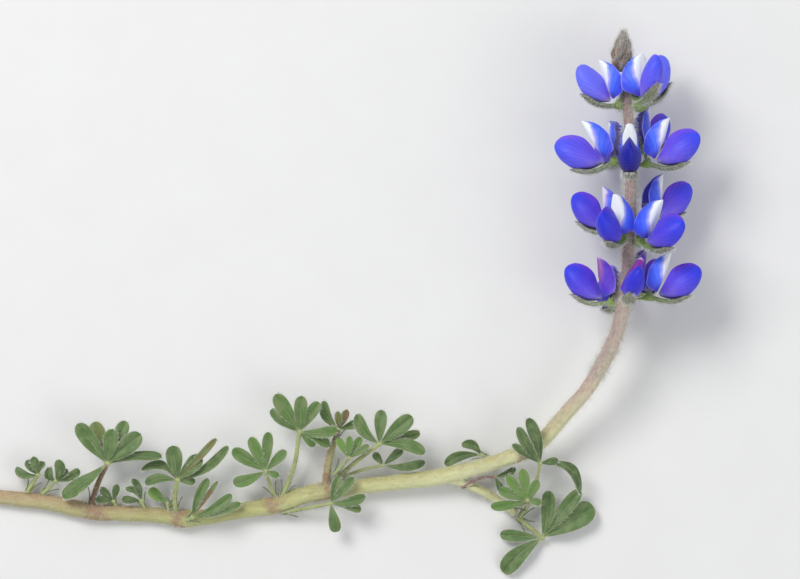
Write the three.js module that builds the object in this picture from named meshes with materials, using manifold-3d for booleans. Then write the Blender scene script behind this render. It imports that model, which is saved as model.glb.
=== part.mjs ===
// A flowering sprig of a small annual lupin, as picked and laid on a flat surface.
//
// A creeping leafy stem turns up into a bare flower stalk with four whorls of pea flowers and a
// cluster of buds at its tip. Sizes are in millimetres, +Z is up, the surface is z = 0. Every
// place is first given on the plan, whose zero is at the sprig's lower left corner with +X along
// the leafy stem and +Y along the flower spike, and is then moved so that the origin lies at the
// middle of the sprig's bounding box, on the surface.

import * as THREE from 'three';
import { mergeVertices } from 'three/addons/utils/BufferGeometryUtils.js';
import Module from 'manifold-3d';

const wasm = await Module();
wasm.setup();

// ---------------------------------------------------------------------------------------------
// Driving dimensions
// ---------------------------------------------------------------------------------------------

const PLAN_CENTRE = [85.23, 68.82]; // middle of the sprig's bounding box on the plan
const BLADE = 0.62; // thickness of petals and leaflets
const GAP = 0.32; // clearance of the leaves round the stem
const WELD = 1e-4; // points nearer than this are one
const STEM_SIDES = 7;

const FINISHES = {
  stem: { color: 0xa3ad62, roughness: 0.75 },
  bud: { color: 0x8d8a78, roughness: 0.9 },
  banner: { color: 0x5a6ee6, roughness: 0.6 },
  wings: { color: 0x3d36c4, roughness: 0.6 },
  leaf: { color: 0x5c8f4e, roughness: 0.8 },
};

// Main stem from its cut end to under the buds: [x, y, z, radius] of its centre line.
const MAIN_STEM = [
  [-4.5, 20.7, 1.6, 1.85],
  [4, 19.7, 1.62, 1.9],
  [12, 18.8, 1.7, 2.0],
  [17.5, 17.6, 1.8, 2.1],
  [22.5, 16.6, 1.85, 2.15],
  [30, 16.1, 1.68, 1.95],
  [41.2, 15.4, 1.74, 2.0],
  [45, 14.8, 2.0, 2.3],
  [50, 15.1, 1.8, 2.0],
  [60, 16.8, 2.1, 1.95],
  [69.2, 18.4, 2.3, 2.3],
  [76, 20.8, 2.5, 2.2],
  [82.2, 21.9, 2.8, 2.35],
  [89.2, 22.8, 3.1, 2.0],
  [100, 24.1, 3.7, 2.0],
  [110, 25.4, 4.4, 2.15],
  [118.7, 27.5, 5.3, 2.0],
  [127, 30.1, 6.5, 1.95],
  [131.7, 32, 7.2, 2.15],
  [136, 34.9, 8.3, 1.95],
  [139, 38.3, 9.4, 1.9],
  [142.7, 42.6, 10.9, 1.85],
  [146.7, 47.2, 12.5, 1.85],
  [149.8, 52.3, 13.8, 1.85],
  [152.3, 57, 14.7, 1.85],
  [154.1, 61.2, 15.4, 1.8],
  [155.5, 66.8, 16.1, 1.8],
  [156.1, 71, 16.5, 1.75],
  [156.8, 78, 16.6, 1.5],
  [157.1, 83.5, 16.6, 1.6],
  [157.5, 90, 16.6, 1.45],
  [157.6, 97, 16.6, 1.4],
  [157.5, 103, 16.6, 1.5],
  [157.3, 110, 16.6, 1.3],
  [157, 116, 16.6, 1.25],
  [156.5, 121, 16.6, 1.3],
  [155.6, 125.9, 16.6, 1.05],
];
const SPIKE_START = 60; // height on the plan from which the stem carries flowers

// Side shoots that grow from the main stem, each rooted inside it.
const SIDE_SHOOTS = [
  // young upright shoot
  [
    [81.6, 21.8, 2.8, 1.3],
    [81.6, 25.2, 3.6, 1.05],
    [82.5, 31, 5, 0.95],
    [83.7, 34.6, 5.9, 0.75],
  ],
  // branch low on the right, down to the surface
  [
    [111, 25.4, 4.4, 1.3],
    [118.5, 22.8, 3.3, 1.25],
    [124.2, 19.6, 2.2, 1.1],
    [129, 16.2, 1.7, 1.15],
  ],
];

// Flowers, whorl by whorl from the lowest up. `y` is the height of the flower's base on the
// plan, `reach` its distance from the spike's centre line, `around` its angle about the spike
// (0 = +X, 90 = up), `tilt` how far its nose is raised, `size` its scale and `fold` how far each
// side of its banner bends back. `roll`, its turn about its own length, and `lean`, the banner's
// extra turn away from the wings, are zero unless given; `slim` scales the wings' height.
const FLOWERS = [
  { name: '1a', y: 70, reach: 4.4, around: 180, tilt: 22, size: 0.92, fold: 88 },
  { name: '1b', y: 70.4, reach: 4.2, around: 80, tilt: 20, roll: -20, size: 0.9, fold: 88 },
  { name: '1c', y: 71.2, reach: 7.4, around: 5, tilt: 12, size: 0.95, fold: 88 },
  { name: '1d', y: 72.4, reach: 4.6, around: -52, tilt: 14, size: 0.9, fold: 88 },
  { name: '1e', y: 69.2, reach: 4.6, around: -111, tilt: 6, size: 0.9, fold: 88 },
  { name: '2a', y: 87.7, reach: 5.2, around: 196, tilt: 25, size: 0.9, fold: 88 },
  { name: '2b', y: 85.6, reach: 4.6, around: 116, tilt: 7, roll: -4, size: 1, fold: 84 },
  { name: '2c', y: 84.6, reach: 4.9, around: 42, tilt: 3, size: 1, fold: 88 },
  { name: '2d', y: 90.6, reach: 6.4, around: -24, tilt: 21, size: 0.93, fold: 88 },
  { name: '2e', y: 86, reach: 5.1, around: -94, tilt: 4, size: 0.9, fold: 88 },
  { name: '3a', y: 104.7, reach: 5.4, around: 180, tilt: 0, size: 1, fold: 88 },
  { name: '3b', y: 103, reach: 4.9, around: 92, tilt: 5, size: 1.03, fold: 88 },
  { name: '3c', y: 104.5, reach: 5.6, around: 12, tilt: 12, size: 0.98, fold: 88 },
  { name: '3d', y: 107.8, reach: 5.2, around: -50, tilt: 22, size: 0.9, fold: 88 },
  { name: '3e', y: 105.4, reach: 4.8, around: -118, tilt: 5, size: 0.9, fold: 88 },
  { name: '4a', y: 119.3, reach: 3.2, around: 163, tilt: 26, lean: -14, size: 0.93, fold: 58, slim: 0.8 },
  { name: '4b', y: 119.8, reach: 5.7, around: 57, tilt: 38, roll: -3, lean: -6, size: 0.95, fold: 52, slim: 0.9 },
  { name: '4c', y: 119.2, reach: 4.6, around: -25, tilt: 47, lean: -4, size: 0.93, fold: 75 },
];

// Side outline of the joined wing petals in flower coordinates [outward, upward] from the base:
// upper ridge, lower edge and half thickness at stations from the claw to the nose.
const WING_RIDGE = [[1.2, 0.1], [3.1, 2.2], [6.1, 5.5], [10.4, 6.2], [13.0, 4.4]];
const WING_EDGE = [[1.4, -0.8], [3.6, -2.0], [7.0, -2.45], [10.4, -1.2], [13.1, 2.3]];
const WING_HALF = [0.35, 1.7, 2.65, 2.4, 0.5];
const WING_ACROSS = [[0, 0], [0.33, 0.7], [0.7, 1], [1, 0.2]]; // [way down, share of thickness]
const WING_CORE = 0.6; // way down to the line that the wall's inner face is drawn towards
const WING_PULL_LIMIT = 0.8;

// Keel inside the wings: [outward, upward, half thickness]; its section is a slanted diamond.
const KEEL_LINE = [[2.55, 1.0, 0.12], [5.2, -0.3, 0.55], [10.6, 2.8, 0.2]];
const KEEL_SLANT = 0.3; // shares of the half thickness
const KEEL_DEPTH = 1.6;

// Banner: its midline [outward, upward] at stations from claw to tip, and the sides on it.
const BANNER_MIDLINE = [[0.95, 0.45], [2.0, 1.65], [4.15, 4.4], [5.75, 7.5], [6.85, 9.8]];
const BANNER_LOBE = [0.8, 3.9, 6.0, 5.4, 0.7]; // length of a side from the midline to its rim
const BANNER_CLOSING = [0.3, 0.66, 0.92, 1, 0.35]; // share of the flower's fold along the midline
const BANNER_ACROSS = [-1, -0.5, 0, 0.5, 1];
const BANNER_BEND = 0.45; // share of a side, next to the midline, in which it bends back
const BANNER_RISE = 5; // degrees by which the sides rise as they run back

// Calyx: cup rings [outward, upward, radius] from the stalk to its mouth behind the claws,
// boat-shaped lower lip [outward, upward, half width], and the upper lip's side and middle
// [outward, upward, sideways], whose tips stand past a notch between them.
const STALK_RADIUS = 0.55;
const STALK_DROP = 0.8; // the stalk leaves the spike this far below its flower
const CUP_RINGS = [[-2.6, -0.5, 0.55], [-1.7, -0.4, 1.1], [-0.5, -0.35, 1.3]];
const CUP_SIDES = 5;
const LIP_LINE = [[-0.9, -1.0, 1.0], [2.4, -2.8, 1.6], [6.0, -3.3, 1.6], [9.5, -2.3, 0.3]];
const LIP_RISE = 0.75; // how far the lower lip's edges rise about its middle
const UPPER_LIP = [
  [[-1.05, 0.2, 0.55], [-1.05, 0.2, 0]],
  [[-1.0, 1.7, 0.8], [-1.0, 1.6, 0]],
  [[-0.3, 4.0, 0.8], [-0.75, 2.7, 0]],
];

// Bud cluster: a small core with rings of pointed buds that overlap up to the tip.
const BUD_BASE = [155.1, 126.7, 16.6];
const BUD_TIP = [156, 137, 16.6];
const BUD_CORE = [[0.02, 0.8], [0.2, 1.8], [0.5, 1.8], [0.75, 1.1], [0.9, 0.5]];
const BUD_CORE_SIDES = 6;
const BUD_SECTION = [[0, 0.5], [0.45, 1], [1, 0.1]]; // a bud's [share of length, share of girth]
const BUD_WIDE = 0.75; // half width and half depth of a bud, as shares of its girth
const BUD_DEEP = 0.7;
const BUD_DRAW_IN = 0.45; // share of its reach by which a bud's tip leans to the axis
const BUD_LEAST_REACH = 0.9;
const BUD_RINGS = [
  { along: 0.05, count: 5, length: 4.6, reach: 1.4, lean: 0.7, girth: 1.5 },
  { along: 0.26, count: 5, length: 4.8, reach: 1.5, lean: 0.5, girth: 1.45 },
  { along: 0.5, count: 4, length: 4.2, reach: 1.1, lean: 0.3, girth: 1.2 },
  { along: 0.66, count: 3, length: 3.5, reach: 0.5, lean: 0.1, girth: 0.9 },
];

// Leaflet: stations along it, the share of its length where it is widest, the least share of its
// width, its arch as a share of its length, and the rise of its edges as a share of half its width.
const LEAFLET_STATIONS = [0, 0.4, 0.75, 0.97];
const LEAFLET_WIDEST = 0.72;
const LEAFLET_LEAST = 0.12;
const LEAFLET_ARCH = 0.07;
const LEAFLET_FOLD = 0.42;
const LEAF_STALK_SIDES = 5;
const HUB_SIZE = 2.2; // radius of the hub as a multiple of its stalk's radius

// Leaves. `stalk` runs from the stem to the hub as [x, y, z]; `girth` is the stalk's radius. Each
// leaflet is [tip x, tip y, tip z, width, roll, bow]: roll turns the blade about its length in
// degrees and bow bends it sideways in millimetres.
const LEAVES = [
  {
    name: 'leaf_end_left',
    stalk: [[6.6, 21.9, 2.6], [8, 24.2, 3.6], [9.1, 25.8, 4.6]],
    girth: 0.6,
    leaflets: [[3.4, 27.3, 3.4, 2.6, 30, 1], [6.2, 29.4, 5.6, 2.4, 10, 0], [8, 30.4, 6, 2.2, 0, 0],
      [10.7, 29.1, 5.4, 2.4, -30, 0.5]],
  },
  {
    name: 'leaf_end_right',
    stalk: [[10.4, 21.4, 2.8], [12.2, 22.9, 3.2], [13.5, 24.2, 3.8]],
    girth: 0.5,
    leaflets: [[11.6, 27.6, 4.4, 2.6, 20, 0.8], [14.5, 29.6, 5, 2.8, 0, -0.6],
      [16.4, 27.2, 3.6, 2.4, -20, 0], [19.6, 26.9, 3.2, 2.4, -10, -0.5]],
  },
  {
    name: 'leaf_tall_left',
    stalk: [[22.6, 19, 2.6], [24, 23.2, 4.8], [26.6, 28.7, 8]],
    girth: 0.72,
    leaflets: [[19.2, 38.7, 10.5, 4.2, 0, 0], [23.4, 39.2, 9.2, 4, 0, 0], [28, 37.4, 10.6, 3.8, 0, 0],
      [31.3, 39.4, 9.4, 3.6, 0, 0], [35, 36.2, 10.4, 4.6, 0, 0], [40.3, 30.5, 8.6, 3, -35, 0.8],
      [15.4, 20.3, 5.6, 4.2, 30, 0.4]],
  },
  {
    name: 'leaf_low_left',
    stalk: [[28.4, 18.4, 2.4], [28, 19.2, 3.1]],
    girth: 0.5,
    leaflets: [[23.6, 19.7, 3.6, 2, 0, 0], [24.9, 22.6, 4.6, 2, 0, 0], [29, 23.4, 4.2, 1.9, 0, 0]],
  },
  {
    name: 'leaf_low_middle',
    stalk: [[35.6, 17.9, 2.4], [35, 19.3, 3.2]],
    girth: 0.5,
    leaflets: [[30.2, 19.7, 3.2, 2.1, 0, 0], [31.2, 22.6, 4.4, 1.9, 0, -1],
      [32.9, 24.9, 4.8, 1.9, 0, -0.6]],
  },
  {
    name: 'leaf_node_tall',
    stalk: [[43.6, 17.2, 3.2], [43.5, 20.6, 5], [44.2, 24.5, 6.8]],
    girth: 0.68,
    leaflets: [[43, 33.2, 9, 4.2, 0, 0], [50.2, 30.5, 8.4, 4, -15, 0], [57, 32.9, 7.2, 2.8, -30, -1.5],
      [54, 35, 9.6, 1.8, 0, 0], [35.2, 27.3, 6.4, 2.6, 20, -2.4], [36, 23.9, 6, 2.8, 20, -0.8],
      [48.6, 24.2, 6.6, 2, 0, 0]],
  },
  {
    name: 'leaf_node_low',
    stalk: [[41.8, 17, 2.4], [41.6, 18.6, 2.9]],
    girth: 0.5,
    leaflets: [[37, 22.2, 2.9, 2.8, 0, 0]],
  },
  {
    name: 'leaf_node_front',
    stalk: [[46.7, 14.6, 4], [47.8, 15.1, 5.1]],
    girth: 0.6,
    leaflets: [[51.8, 25, 7.6, 2.6, 20, 0.5], [54.3, 24.3, 6.8, 1.3, 0, 0], [57.8, 20.8, 6.2, 2.7, 0, -0.8],
      [60, 18.7, 5.8, 2.4, -20, -0.5]],
  },
  {
    name: 'leaf_star_left',
    stalk: [[68.6, 20.6, 3], [67.2, 23.8, 4.6], [66.3, 26.8, 6]],
    girth: 0.5,
    leaflets: [[58, 32.2, 7.6, 3.4, 0, 0], [62.5, 35.3, 8, 3, 0, 0], [67, 36.6, 8, 2.8, 0, 0],
      [71.4, 31.9, 6.6, 2.6, -15, 0], [58.2, 23.7, 5.6, 3.2, 15, 0.5], [69.6, 25.6, 6.6, 1.8, 0, 0]],
  },
  {
    name: 'leaf_tall_middle',
    stalk: [[70.6, 20.8, 3.2], [73.4, 28, 5.6], [74.8, 36.7, 8.6]],
    girth: 0.62,
    leaflets: [[68.8, 46.1, 10.6, 3.8, 0, 0], [67.6, 42.2, 7.6, 2.8, 20, 0.5], [75.3, 45.7, 11, 3.4, 0, 0],
      [79.6, 44.2, 10.2, 3, 0, 0], [84.3, 37, 9.6, 3, -20, -0.5], [82.3, 33.2, 8.8, 2.8, -10, 0.6],
      [78.6, 33.1, 8.6, 2, 0, 0]],
  },
  {
    name: 'leaf_shoot_top',
    stalk: [[83.9, 35.1, 6], [84.7, 37.2, 6.6]],
    girth: 0.55,
    leaflets: [[80.6, 44.3, 7.4, 2.8, 0, 1], [86.8, 42.2, 8.4, 2, 0, 0], [84.4, 41.8, 9, 1.7, 0, 0],
      [90, 38.9, 6.2, 2.4, -20, 0]],
  },
  {
    name: 'leaf_fan_right',
    stalk: [[83.8, 24.6, 4.4], [89, 29.2, 6.6], [94.8, 33.6, 8.6]],
    girth: 0.62,
    leaflets: [[89, 41, 10, 3.2, 0, 1], [95.3, 42.2, 10.4, 3.2, 0, 0], [103, 40.6, 10, 4, 0, 0],
      [106.3, 31.6, 9, 3.4, -15, 1], [105, 36.4, 7.2, 2.6, 0, 0]],
  },
  {
    name: 'leaf_fan_bright',
    stalk: [[83.8, 26.4, 6], [87.2, 30.1, 8.6]],
    girth: 0.48,
    leaflets: [[84.4, 35.2, 9.6, 2, 0, 0], [87.4, 35.6, 10, 1.9, 0, 0], [90.2, 35.3, 8.8, 2, 0, 0],
      [92.2, 33.3, 9.2, 1.9, 0, 0]],
  },
  {
    name: 'leaf_fan_under',
    stalk: [[84.7, 24.9, 3.2], [90, 26.9, 4.2], [95.8, 28.3, 4.8]],
    girth: 0.45,
    leaflets: [[106.3, 29, 5, 2.4, 0, -0.8], [100.6, 32.4, 5.4, 2.2, 0, 0],
      [93.4, 31.4, 5.2, 2, 0, 0]],
  },
  {
    name: 'leaf_below_middle',
    stalk: [[70.6, 16.4, 2.6], [76.4, 17.4, 4], [82.6, 18.7, 6]],
    girth: 0.5,
    leaflets: [[84.6, 25.4, 7.2, 2.4, 10, 0], [88.4, 25.2, 7.4, 2.4, -10, 0],
      [91.3, 20.4, 6.8, 2.6, 0, -0.5], [90.2, 17, 6, 2.4, 0, 0.5], [84, 11.5, 4.8, 3, 0, 0]],
  },
  {
    name: 'leaf_bright_right',
    stalk: [[128.6, 18, 2.8], [131, 18.6, 5], [132, 19.5, 7.2]],
    girth: 0.5,
    leaflets: [[122.8, 17.9, 7.4, 2.6, 10, 0.4], [124.8, 22.2, 8.4, 2.8, 0, 0],
      [126.8, 25.6, 9, 2.6, 0, 0], [130.7, 27.4, 9.4, 2.8, 0, 0], [134.6, 24.6, 8.8, 2.4, 0, 0],
      [135.4, 19, 7.6, 2, 0, 0]],
  },
  {
    name: 'leaf_lowest_right',
    stalk: [[129.9, 14.8, 2.1], [132.8, 12.4, 2.2], [135.7, 10, 2.2]],
    girth: 0.65,
    leaflets: [[125.2, 10.8, 1.2, 3, 0, 0], [125.8, 1.4, 0.5, 4.8, 0, -0.6], [148.6, 17.8, 1.6, 6.2, 0, 0],
      [145.2, 22, 3.4, 3.6, 0, 0], [137.4, 21.8, 4, 3.8, 0, -0.5]],
  },
  {
    name: 'leaf_bend_right',
    stalk: [[130.4, 15.6, 3.2], [133.6, 21, 4.6], [134.6, 26, 7], [135.2, 28.8, 9]],
    girth: 0.5,
    leaflets: [[129.4, 37.8, 13.4, 2.8, 10, 0.4], [132.2, 40.2, 14, 3.2, -10, -0.6],
      [128.2, 33.6, 11.8, 2, 0, 0], [145.2, 21.4, 6.2, 3, -20, 3.4], [139.6, 29.6, 9.4, 2, 0, 0]],
  },
  {
    name: 'leaf_above_right',
    stalk: [[121.8, 30.4, 4.4], [120.4, 30.8, 4.2]],
    girth: 0.42,
    leaflets: [[115.6, 33.8, 4.8, 2.6, 0, -1], [111.2, 28.6, 3.6, 2.8, 0, -1]],
  },
  {
    name: 'leaf_strand_right',
    stalk: [[115.8, 22.9, 4.4], [120, 25, 4.8], [123.8, 25.4, 5.2]],
    girth: 0.42,
    leaflets: [[129, 27.4, 5.2, 1.9, 0, -0.4], [125.8, 21.6, 4.6, 1.8, 0, 0]],
  },
];

// ---------------------------------------------------------------------------------------------
// Closed bodies from points
// ---------------------------------------------------------------------------------------------

function place(x, y, z) {
  return new THREE.Vector3(x - PLAN_CENTRE[0], y - PLAN_CENTRE[1], z);
}

function solidOfMesh(vertProperties, triVerts) {
  return new wasm.Manifold(new wasm.Mesh({
    numProp: 3,
    vertProperties: new Float32Array(vertProperties),
    triVerts: new Uint32Array(triVerts),
  }));
}

// A solid from one of the library's ready shapes, with its seams closed.
function solidOfShape(geometry) {
  geometry.deleteAttribute('normal');
  geometry.deleteAttribute('uv');
  const merged = mergeVertices(geometry);
  return solidOfMesh(merged.getAttribute('position').array, merged.getIndex().array);
}

// A solid from a list of points and triangles; its faces are turned outward if they point in.
function solidFrom(points, triangles) {
  const geometry = new THREE.BufferGeometry().setFromPoints(points);
  geometry.setIndex(triangles);
  const merged = mergeVertices(geometry, WELD);
  const position = merged.getAttribute('position');
  const index = merged.getIndex().array;
  const kept = [];
  let volume = 0;
  const a = new THREE.Vector3();
  const b = new THREE.Vector3();
  const c = new THREE.Vector3();
  for (let i = 0; i < index.length; i += 3) {
    const [p, q, r] = [index[i], index[i + 1], index[i + 2]];
    if (p === q || q === r || r === p) continue;
    kept.push([p, q, r]);
    a.fromBufferAttribute(position, p);
    b.fromBufferAttribute(position, q);
    c.fromBufferAttribute(position, r);
    volume += a.dot(b.cross(c));
  }
  const outward = volume > 0 ? kept : kept.map(([p, q, r]) => [p, r, q]);
  return solidOfMesh(position.array, outward.flat());
}

// A body through rings of points, with a fan over each end.
function bodyThroughRings(rings) {
  const sides = rings[0].length;
  const points = rings.flat();
  const triangles = [];
  for (let i = 0; i + 1 < rings.length; i += 1) {
    for (let j = 0; j < sides; j += 1) {
      const k = (j + 1) % sides;
      const [a, b] = [i * sides + j, i * sides + k];
      const [c, d] = [a + sides, b + sides];
      triangles.push(a, b, d, a, d, c);
    }
  }
  const last = (rings.length - 1) * sides;
  for (let j = 1; j + 1 < sides; j += 1) {
    triangles.push(0, j + 1, j, last, last + j, last + j + 1);
  }
  return solidFrom(points, triangles);
}

// A blade between two sheets of points, both split alike, joined round the rim.
function bladeBetween(front, back) {
  const rows = front.length;
  const columns = front[0].length;
  const points = [...front.flat(), ...back.flat()];
  const shift = rows * columns;
  const triangles = [];
  for (let i = 0; i + 1 < rows; i += 1) {
    for (let j = 0; j + 1 < columns; j += 1) {
      const a = i * columns + j;
      const [b, c, d] = [a + 1, a + columns, a + columns + 1];
      triangles.push(a, b, d, a, d, c);
      triangles.push(shift + a, shift + d, shift + b, shift + a, shift + c, shift + d);
    }
  }
  const rim = [];
  for (let j = 0; j < columns; j += 1) rim.push(j);
  for (let i = 1; i < rows; i += 1) rim.push(i * columns + columns - 1);
  for (let j = columns - 2; j >= 0; j -= 1) rim.push((rows - 1) * columns + j);
  for (let i = rows - 2; i > 0; i -= 1) rim.push(i * columns);
  rim.forEach((a, i) => {
    const b = rim[(i + 1) % rim.length];
    triangles.push(b, a, shift + a, b, shift + a, shift + b);
  });
  return solidFrom(points, triangles);
}

// The sheet moved along its own normals by a distance, for the blade's other face.
function offsetSheet(sheet, distance) {
  const rows = sheet.length;
  const columns = sheet[0].length;
  return sheet.map((row, i) => row.map((point, j) => {
    const along = sheet[Math.min(i + 1, rows - 1)][j].clone().sub(sheet[Math.max(i - 1, 0)][j]);
    const across = row[Math.min(j + 1, columns - 1)].clone().sub(row[Math.max(j - 1, 0)]);
    return point.clone().addScaledVector(along.cross(across).normalize(), distance);
  }));
}

// Places [x, y, z, radius] as stations of a smooth line, with its direction at each.
function lineStations(places) {
  const points = places.map(([x, y, z]) => place(x, y, z));
  const curve = new THREE.CatmullRomCurve3(points, false, 'centripetal');
  return places.map(([, , , radius], i) => ({
    point: points[i],
    tangent: curve.getTangent(i / (places.length - 1)),
    radius,
  }));
}

// Regular rings about a line's stations; `grow` widens them, with one flat side facing down.
function tubeRings(stations, sides, grow = 0) {
  const up = new THREE.Vector3(0, 0, 1);
  return stations.map(({ point, tangent, radius }) => {
    const side = up.clone().cross(tangent).normalize();
    const lift = tangent.clone().cross(side).normalize();
    const ring = [];
    for (let j = 0; j < sides; j += 1) {
      const turn = (2 * Math.PI * (j + 0.5)) / sides - Math.PI / 2;
      ring.push(point.clone()
        .addScaledVector(side, (radius + grow) * Math.cos(turn))
        .addScaledVector(lift, (radius + grow) * Math.sin(turn)));
    }
    return ring;
  });
}

function joined(solids) {
  return solids.reduce((whole, solid) => whole.add(solid));
}

// The largest body of a solid, without loose scraps that a cut may leave.
function largestBody(solid) {
  const bodies = solid.decompose();
  return bodies.reduce((best, body) => (body.volume() > best.volume() ? body : best));
}

// ---------------------------------------------------------------------------------------------
// Stem
// ---------------------------------------------------------------------------------------------

function stemBody(grow) {
  const bodies = [MAIN_STEM, ...SIDE_SHOOTS].map((line) => (
    bodyThroughRings(tubeRings(lineStations(line), STEM_SIDES, grow))));
  return joined(bodies);
}

// Centre of the spike's axis at a height on the plan, between the main stem's last places.
function spikeCentre(y) {
  const above = MAIN_STEM.findIndex(([, placeY]) => placeY >= y && placeY > SPIKE_START);
  const [low, high] = [MAIN_STEM[above - 1], MAIN_STEM[above]];
  const share = (y - low[1]) / (high[1] - low[1]);
  const at = (k) => THREE.MathUtils.lerp(low[k], high[k], share);
  return place(at(0), y, at(2));
}

// ---------------------------------------------------------------------------------------------
// Flowers, in flower coordinates: outward, upward along the spike, sideways
// ---------------------------------------------------------------------------------------------

function flowerFrame({ y, reach, around, tilt, roll = 0, size }) {
  const [turn, rise, spin] = [around, tilt, roll].map(THREE.MathUtils.degToRad);
  const radial = new THREE.Vector3(Math.cos(turn), 0, Math.sin(turn));
  const spike = new THREE.Vector3(0, 1, 0);
  const turned = (along, across) => new THREE.Vector3()
    .addScaledVector(spike, along)
    .addScaledVector(radial, across);
  const outward = turned(Math.sin(rise), Math.cos(rise));
  const upward = turned(Math.cos(rise), -Math.sin(rise)).applyAxisAngle(outward, spin);
  const sideways = outward.clone().cross(upward);
  const base = spikeCentre(y).addScaledVector(radial, reach);
  return (out, up, side) => base.clone()
    .addScaledVector(outward, out * size)
    .addScaledVector(upward, up * size)
    .addScaledVector(sideways, side * size);
}

// The two wing petals: one thick sheet folded along its upper ridge and open below, round a keel.
function wings(frame, { slim = 1 }) {
  const across = [...WING_ACROSS.slice(1).reverse().map(([q, h]) => [q, -h]), ...WING_ACROSS];
  const outer = [];
  const inner = [];
  WING_RIDGE.forEach((ridge, i) => {
    const lowered = 1 - (1 - slim) * Math.sin((Math.PI * i) / (WING_RIDGE.length - 1));
    const top = [ridge[0], ridge[1] * lowered];
    const at = (q) => top.map((value, k) => THREE.MathUtils.lerp(value, WING_EDGE[i][k], q));
    const core = at(WING_CORE);
    const outerRow = [];
    const innerRow = [];
    across.forEach(([q, share]) => {
      const [out, up] = at(q);
      const side = share * WING_HALF[i];
      const distance = Math.hypot(core[0] - out, core[1] - up, side);
      const pull = Math.min(BLADE / distance, WING_PULL_LIMIT);
      const [innerOut, innerUp] = [out, up].map((value, k) => THREE.MathUtils.lerp(value, core[k], pull));
      outerRow.push(frame(out, up, side));
      innerRow.push(frame(innerOut, innerUp, side * (1 - pull)));
    });
    outer.push(outerRow);
    inner.push(innerRow);
  });
  return bladeBetween(outer, inner);
}

function keel(frame) {
  const rings = KEEL_LINE.map(([out, up, half]) => [
    frame(out - KEEL_SLANT * half, up + KEEL_DEPTH * half, 0),
    frame(out, up, half),
    frame(out + KEEL_SLANT * half, up - KEEL_DEPTH * half, 0),
    frame(out, up, -half),
  ]);
  return bodyThroughRings(rings);
}

// The banner: a blade along its midline. Each side bends back in an arc, then runs on straight, and
// the blade's other face lies on the hollow side of the fold.
function banner(frame, { fold, lean = 0 }) {
  const [closing, turn, rise] = [fold, lean, BANNER_RISE].map(THREE.MathUtils.degToRad);
  const base = new THREE.Vector2(...BANNER_MIDLINE[0]);
  const midline = BANNER_MIDLINE.map(([out, up]) => new THREE.Vector2(out, up).rotateAround(base, turn));
  const back = new THREE.Vector2(-Math.cos(turn - rise), -Math.sin(turn - rise));
  const face = (depth) => midline.map((middle, i) => {
    const ahead = midline[Math.min(i + 1, midline.length - 1)];
    const along = ahead.clone().sub(midline[Math.max(i - 1, 0)]).normalize();
    const behind = new THREE.Vector2(-along.y, along.x);
    const angle = closing * BANNER_CLOSING[i];
    const radius = BANNER_BEND / angle;
    return BANNER_ACROSS.map((w) => {
      const bent = Math.min(Math.abs(w), BANNER_BEND);
      const straight = Math.abs(w) - bent;
      const side = radius * Math.sin(bent / radius) + straight * Math.cos(angle);
      const push = radius * (1 - Math.cos(bent / radius)) + straight * Math.sin(angle);
      const spot = middle.clone()
        .addScaledVector(back, push * BANNER_LOBE[i])
        .addScaledVector(behind, depth * Math.cos(bent / radius));
      const inward = depth * Math.sin(bent / radius);
      return frame(spot.x, spot.y, Math.sign(w) * (side * BANNER_LOBE[i] - inward));
    });
  });
  return bladeBetween(face(0), face(BLADE));
}

// The calyx on its stalk: a cup with a long lower lip and two upper teeth.
function calyx(flower, frame) {
  const upward = frame(0, 1, 0).sub(frame(0, 0, 0));
  const sideways = frame(0, 0, 1).sub(frame(0, 0, 0));
  const ring = (centre, radius) => Array.from({ length: CUP_SIDES }, (_, k) => {
    const turn = (2 * Math.PI * k) / CUP_SIDES + Math.PI / 2;
    return centre.clone()
      .addScaledVector(upward, radius * Math.sin(turn))
      .addScaledVector(sideways, radius * Math.cos(turn));
  });
  const root = ring(spikeCentre(flower.y - STALK_DROP), STALK_RADIUS);
  const cupRings = CUP_RINGS.map(([out, up, radius]) => ring(frame(out, up, 0), radius));
  const cup = bodyThroughRings([root, ...cupRings]);
  const lipSheet = LIP_LINE.map(([out, up, half]) => [-1, 0, 1].map((w) => (
    frame(out, up + LIP_RISE * Math.abs(w) * Math.min(1, half), w * half))));
  const lip = bladeBetween(lipSheet, offsetSheet(lipSheet, BLADE));
  const upperSheet = UPPER_LIP.map(([[out, up, side], middle]) => [
    frame(out, up, -side),
    frame(...middle),
    frame(out, up, side),
  ]);
  const upperLip = bladeBetween(upperSheet, offsetSheet(upperSheet, BLADE));
  return joined([cup, lip, upperLip]);
}

// ---------------------------------------------------------------------------------------------
// Buds
// ---------------------------------------------------------------------------------------------

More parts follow.
